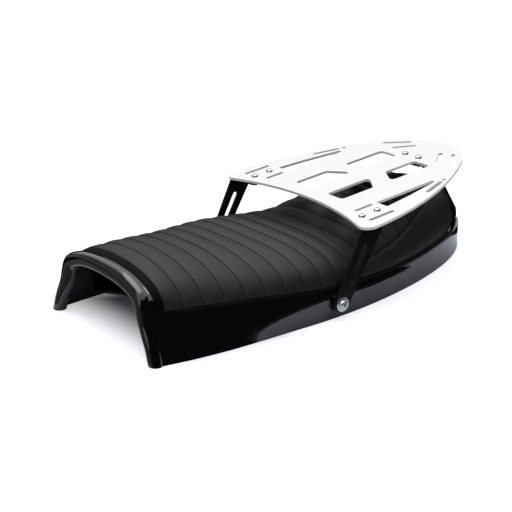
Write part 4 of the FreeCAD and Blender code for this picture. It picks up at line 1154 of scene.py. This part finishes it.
def floor_cards():
    """Cards on the floor round the pan's outline, dark beside it and grey before the nose."""
    length = CAD_BOX[1][0] - CAD_BOX[0][0]
    left = []
    for i in range(CARD_STEPS + 1):
        back = length * math.sin(math.pi / 2 * i / CARD_STEPS)
        share = max(0.0, (back - TAIL_START) / (length - TAIL_START))
        half = PAN_HALF * (1 - share ** PANEL_POWER) ** PANEL_ROUND
        gap = CARD_GAP * (1 - TAIL_CLOSER * share)
        left.append(Vector((FRONT - back * (1 + gap / length), half + gap, HAIR)))
    loop = left + [Vector((p.x, -p.y, p.z)) for p in reversed(left)]
    far = [p.normalized() * FLAG_RADIUS for p in loop]
    for p in far:
        p.z = HAIR
    count = len(loop)
    faces = [(i, i + 1, count + i + 1, count + i) for i in range(count - 1)]
    card("floor_cards", loop + far, faces, FLAG_GREY)
    ahead = Vector((NOSE_GAP, 0, 0))
    corners = [loop[0] + ahead, far[0], far[-1], loop[-1] + ahead]
    card("nose_card", corners, [(0, 1, 2, 3)], NOSE_GREY)


class SEAT_OT_stage(bpy.types.Operator):
    """Sets the floor, the lights and the camera"""
    bl_idname = "seat.stage"
    bl_label = "Stage"

    def execute(self, context):
        scene = context.scene
        stage = scene.seat_stage
        scene.view_settings.view_transform = "Standard"
        corners = [(-FLOOR_HALF, -FLOOR_HALF, 0), (FLOOR_HALF, -FLOOR_HALF, 0),
                   (FLOOR_HALF, FLOOR_HALF, 0), (-FLOOR_HALF, FLOOR_HALF, 0)]
        floor = mesh_object("studio_floor", corners, [(0, 1, 2, 3)])
        floor.data.materials.append(floor_finish())
        side_cards("side_cards", FLAG_CARDS, FLAG_RADIUS, FLAG_GREY)
        side_cards("front_card", FRONT_CARDS, FRONT_RADIUS, FRONT_GREY)
        floor_cards()
        studio_world(stage.fill)
        lamp = bpy.data.lights.new("softbox", "AREA")
        lamp.shape = "RECTANGLE"
        lamp.size, lamp.size_y = SOFTBOX_SIZE
        lamp.energy = stage.softbox
        softbox = bpy.data.objects.new("softbox", lamp)
        softbox.location = SOFTBOX_PLACE
        softbox.rotation_euler = Vector(SOFTBOX_BACK).to_track_quat("Z", "Y").to_euler()
        scene.collection.objects.link(softbox)
        view = bpy.data.cameras.new("photo_view")
        view.lens = stage.lens
        view.sensor_width = SENSOR_WIDTH
        view.clip_end = CLIP_END
        camera = bpy.data.objects.new("photo_view", view)
        camera.location = stage.camera_place
        camera.rotation_euler = Vector(stage.camera_back).to_track_quat("Z", "Y").to_euler()
        scene.collection.objects.link(camera)
        scene.camera = camera
        return {"FINISHED"}


class SEAT_PT_panel(bpy.types.Panel):
    """Lists the steps that dress the seat"""
    bl_label = "Scrambler Seat"
    bl_idname = "SEAT_PT_panel"
    bl_space_type = "VIEW_3D"
    bl_region_type = "UI"
    bl_category = "Seat"

    def draw(self, context):
        layout = self.layout
        for step in STEPS:
            layout.operator(step.bl_idname)
        scene = context.scene
        for group in (scene.seat_cushion, scene.seat_finish, scene.seat_stage):
            box = layout.box()
            for name in group.__annotations__:
                box.prop(group, name)


SETTINGS = (
    ("seat_cushion", CushionSettings),
    ("seat_finish", FinishSettings),
    ("seat_stage", StageSettings),
)
STEPS = (
    SEAT_OT_cushion,
    SEAT_OT_pan,
    SEAT_OT_rack,
    SEAT_OT_brackets,
    SEAT_OT_fasteners,
    SEAT_OT_underside,
    SEAT_OT_stage,
)


def register():
    for name, group in SETTINGS:
        bpy.utils.register_class(group)
        setattr(bpy.types.Scene, name, PointerProperty(type=group))
    for step in STEPS:
        bpy.utils.register_class(step)
    bpy.utils.register_class(SEAT_PT_panel)


def unregister():
    bpy.utils.unregister_class(SEAT_PT_panel)
    for step in reversed(STEPS):
        bpy.utils.unregister_class(step)
    for name, group in reversed(SETTINGS):
        delattr(bpy.types.Scene, name)
        bpy.utils.unregister_class(group)


def main():
    register()
    bpy.ops.seat.cushion()
    bpy.ops.seat.pan()
    bpy.ops.seat.rack()
    bpy.ops.seat.brackets()
    bpy.ops.seat.fasteners()
    bpy.ops.seat.underside()
    bpy.ops.seat.stage()


if __name__ == "__main__":
    main()
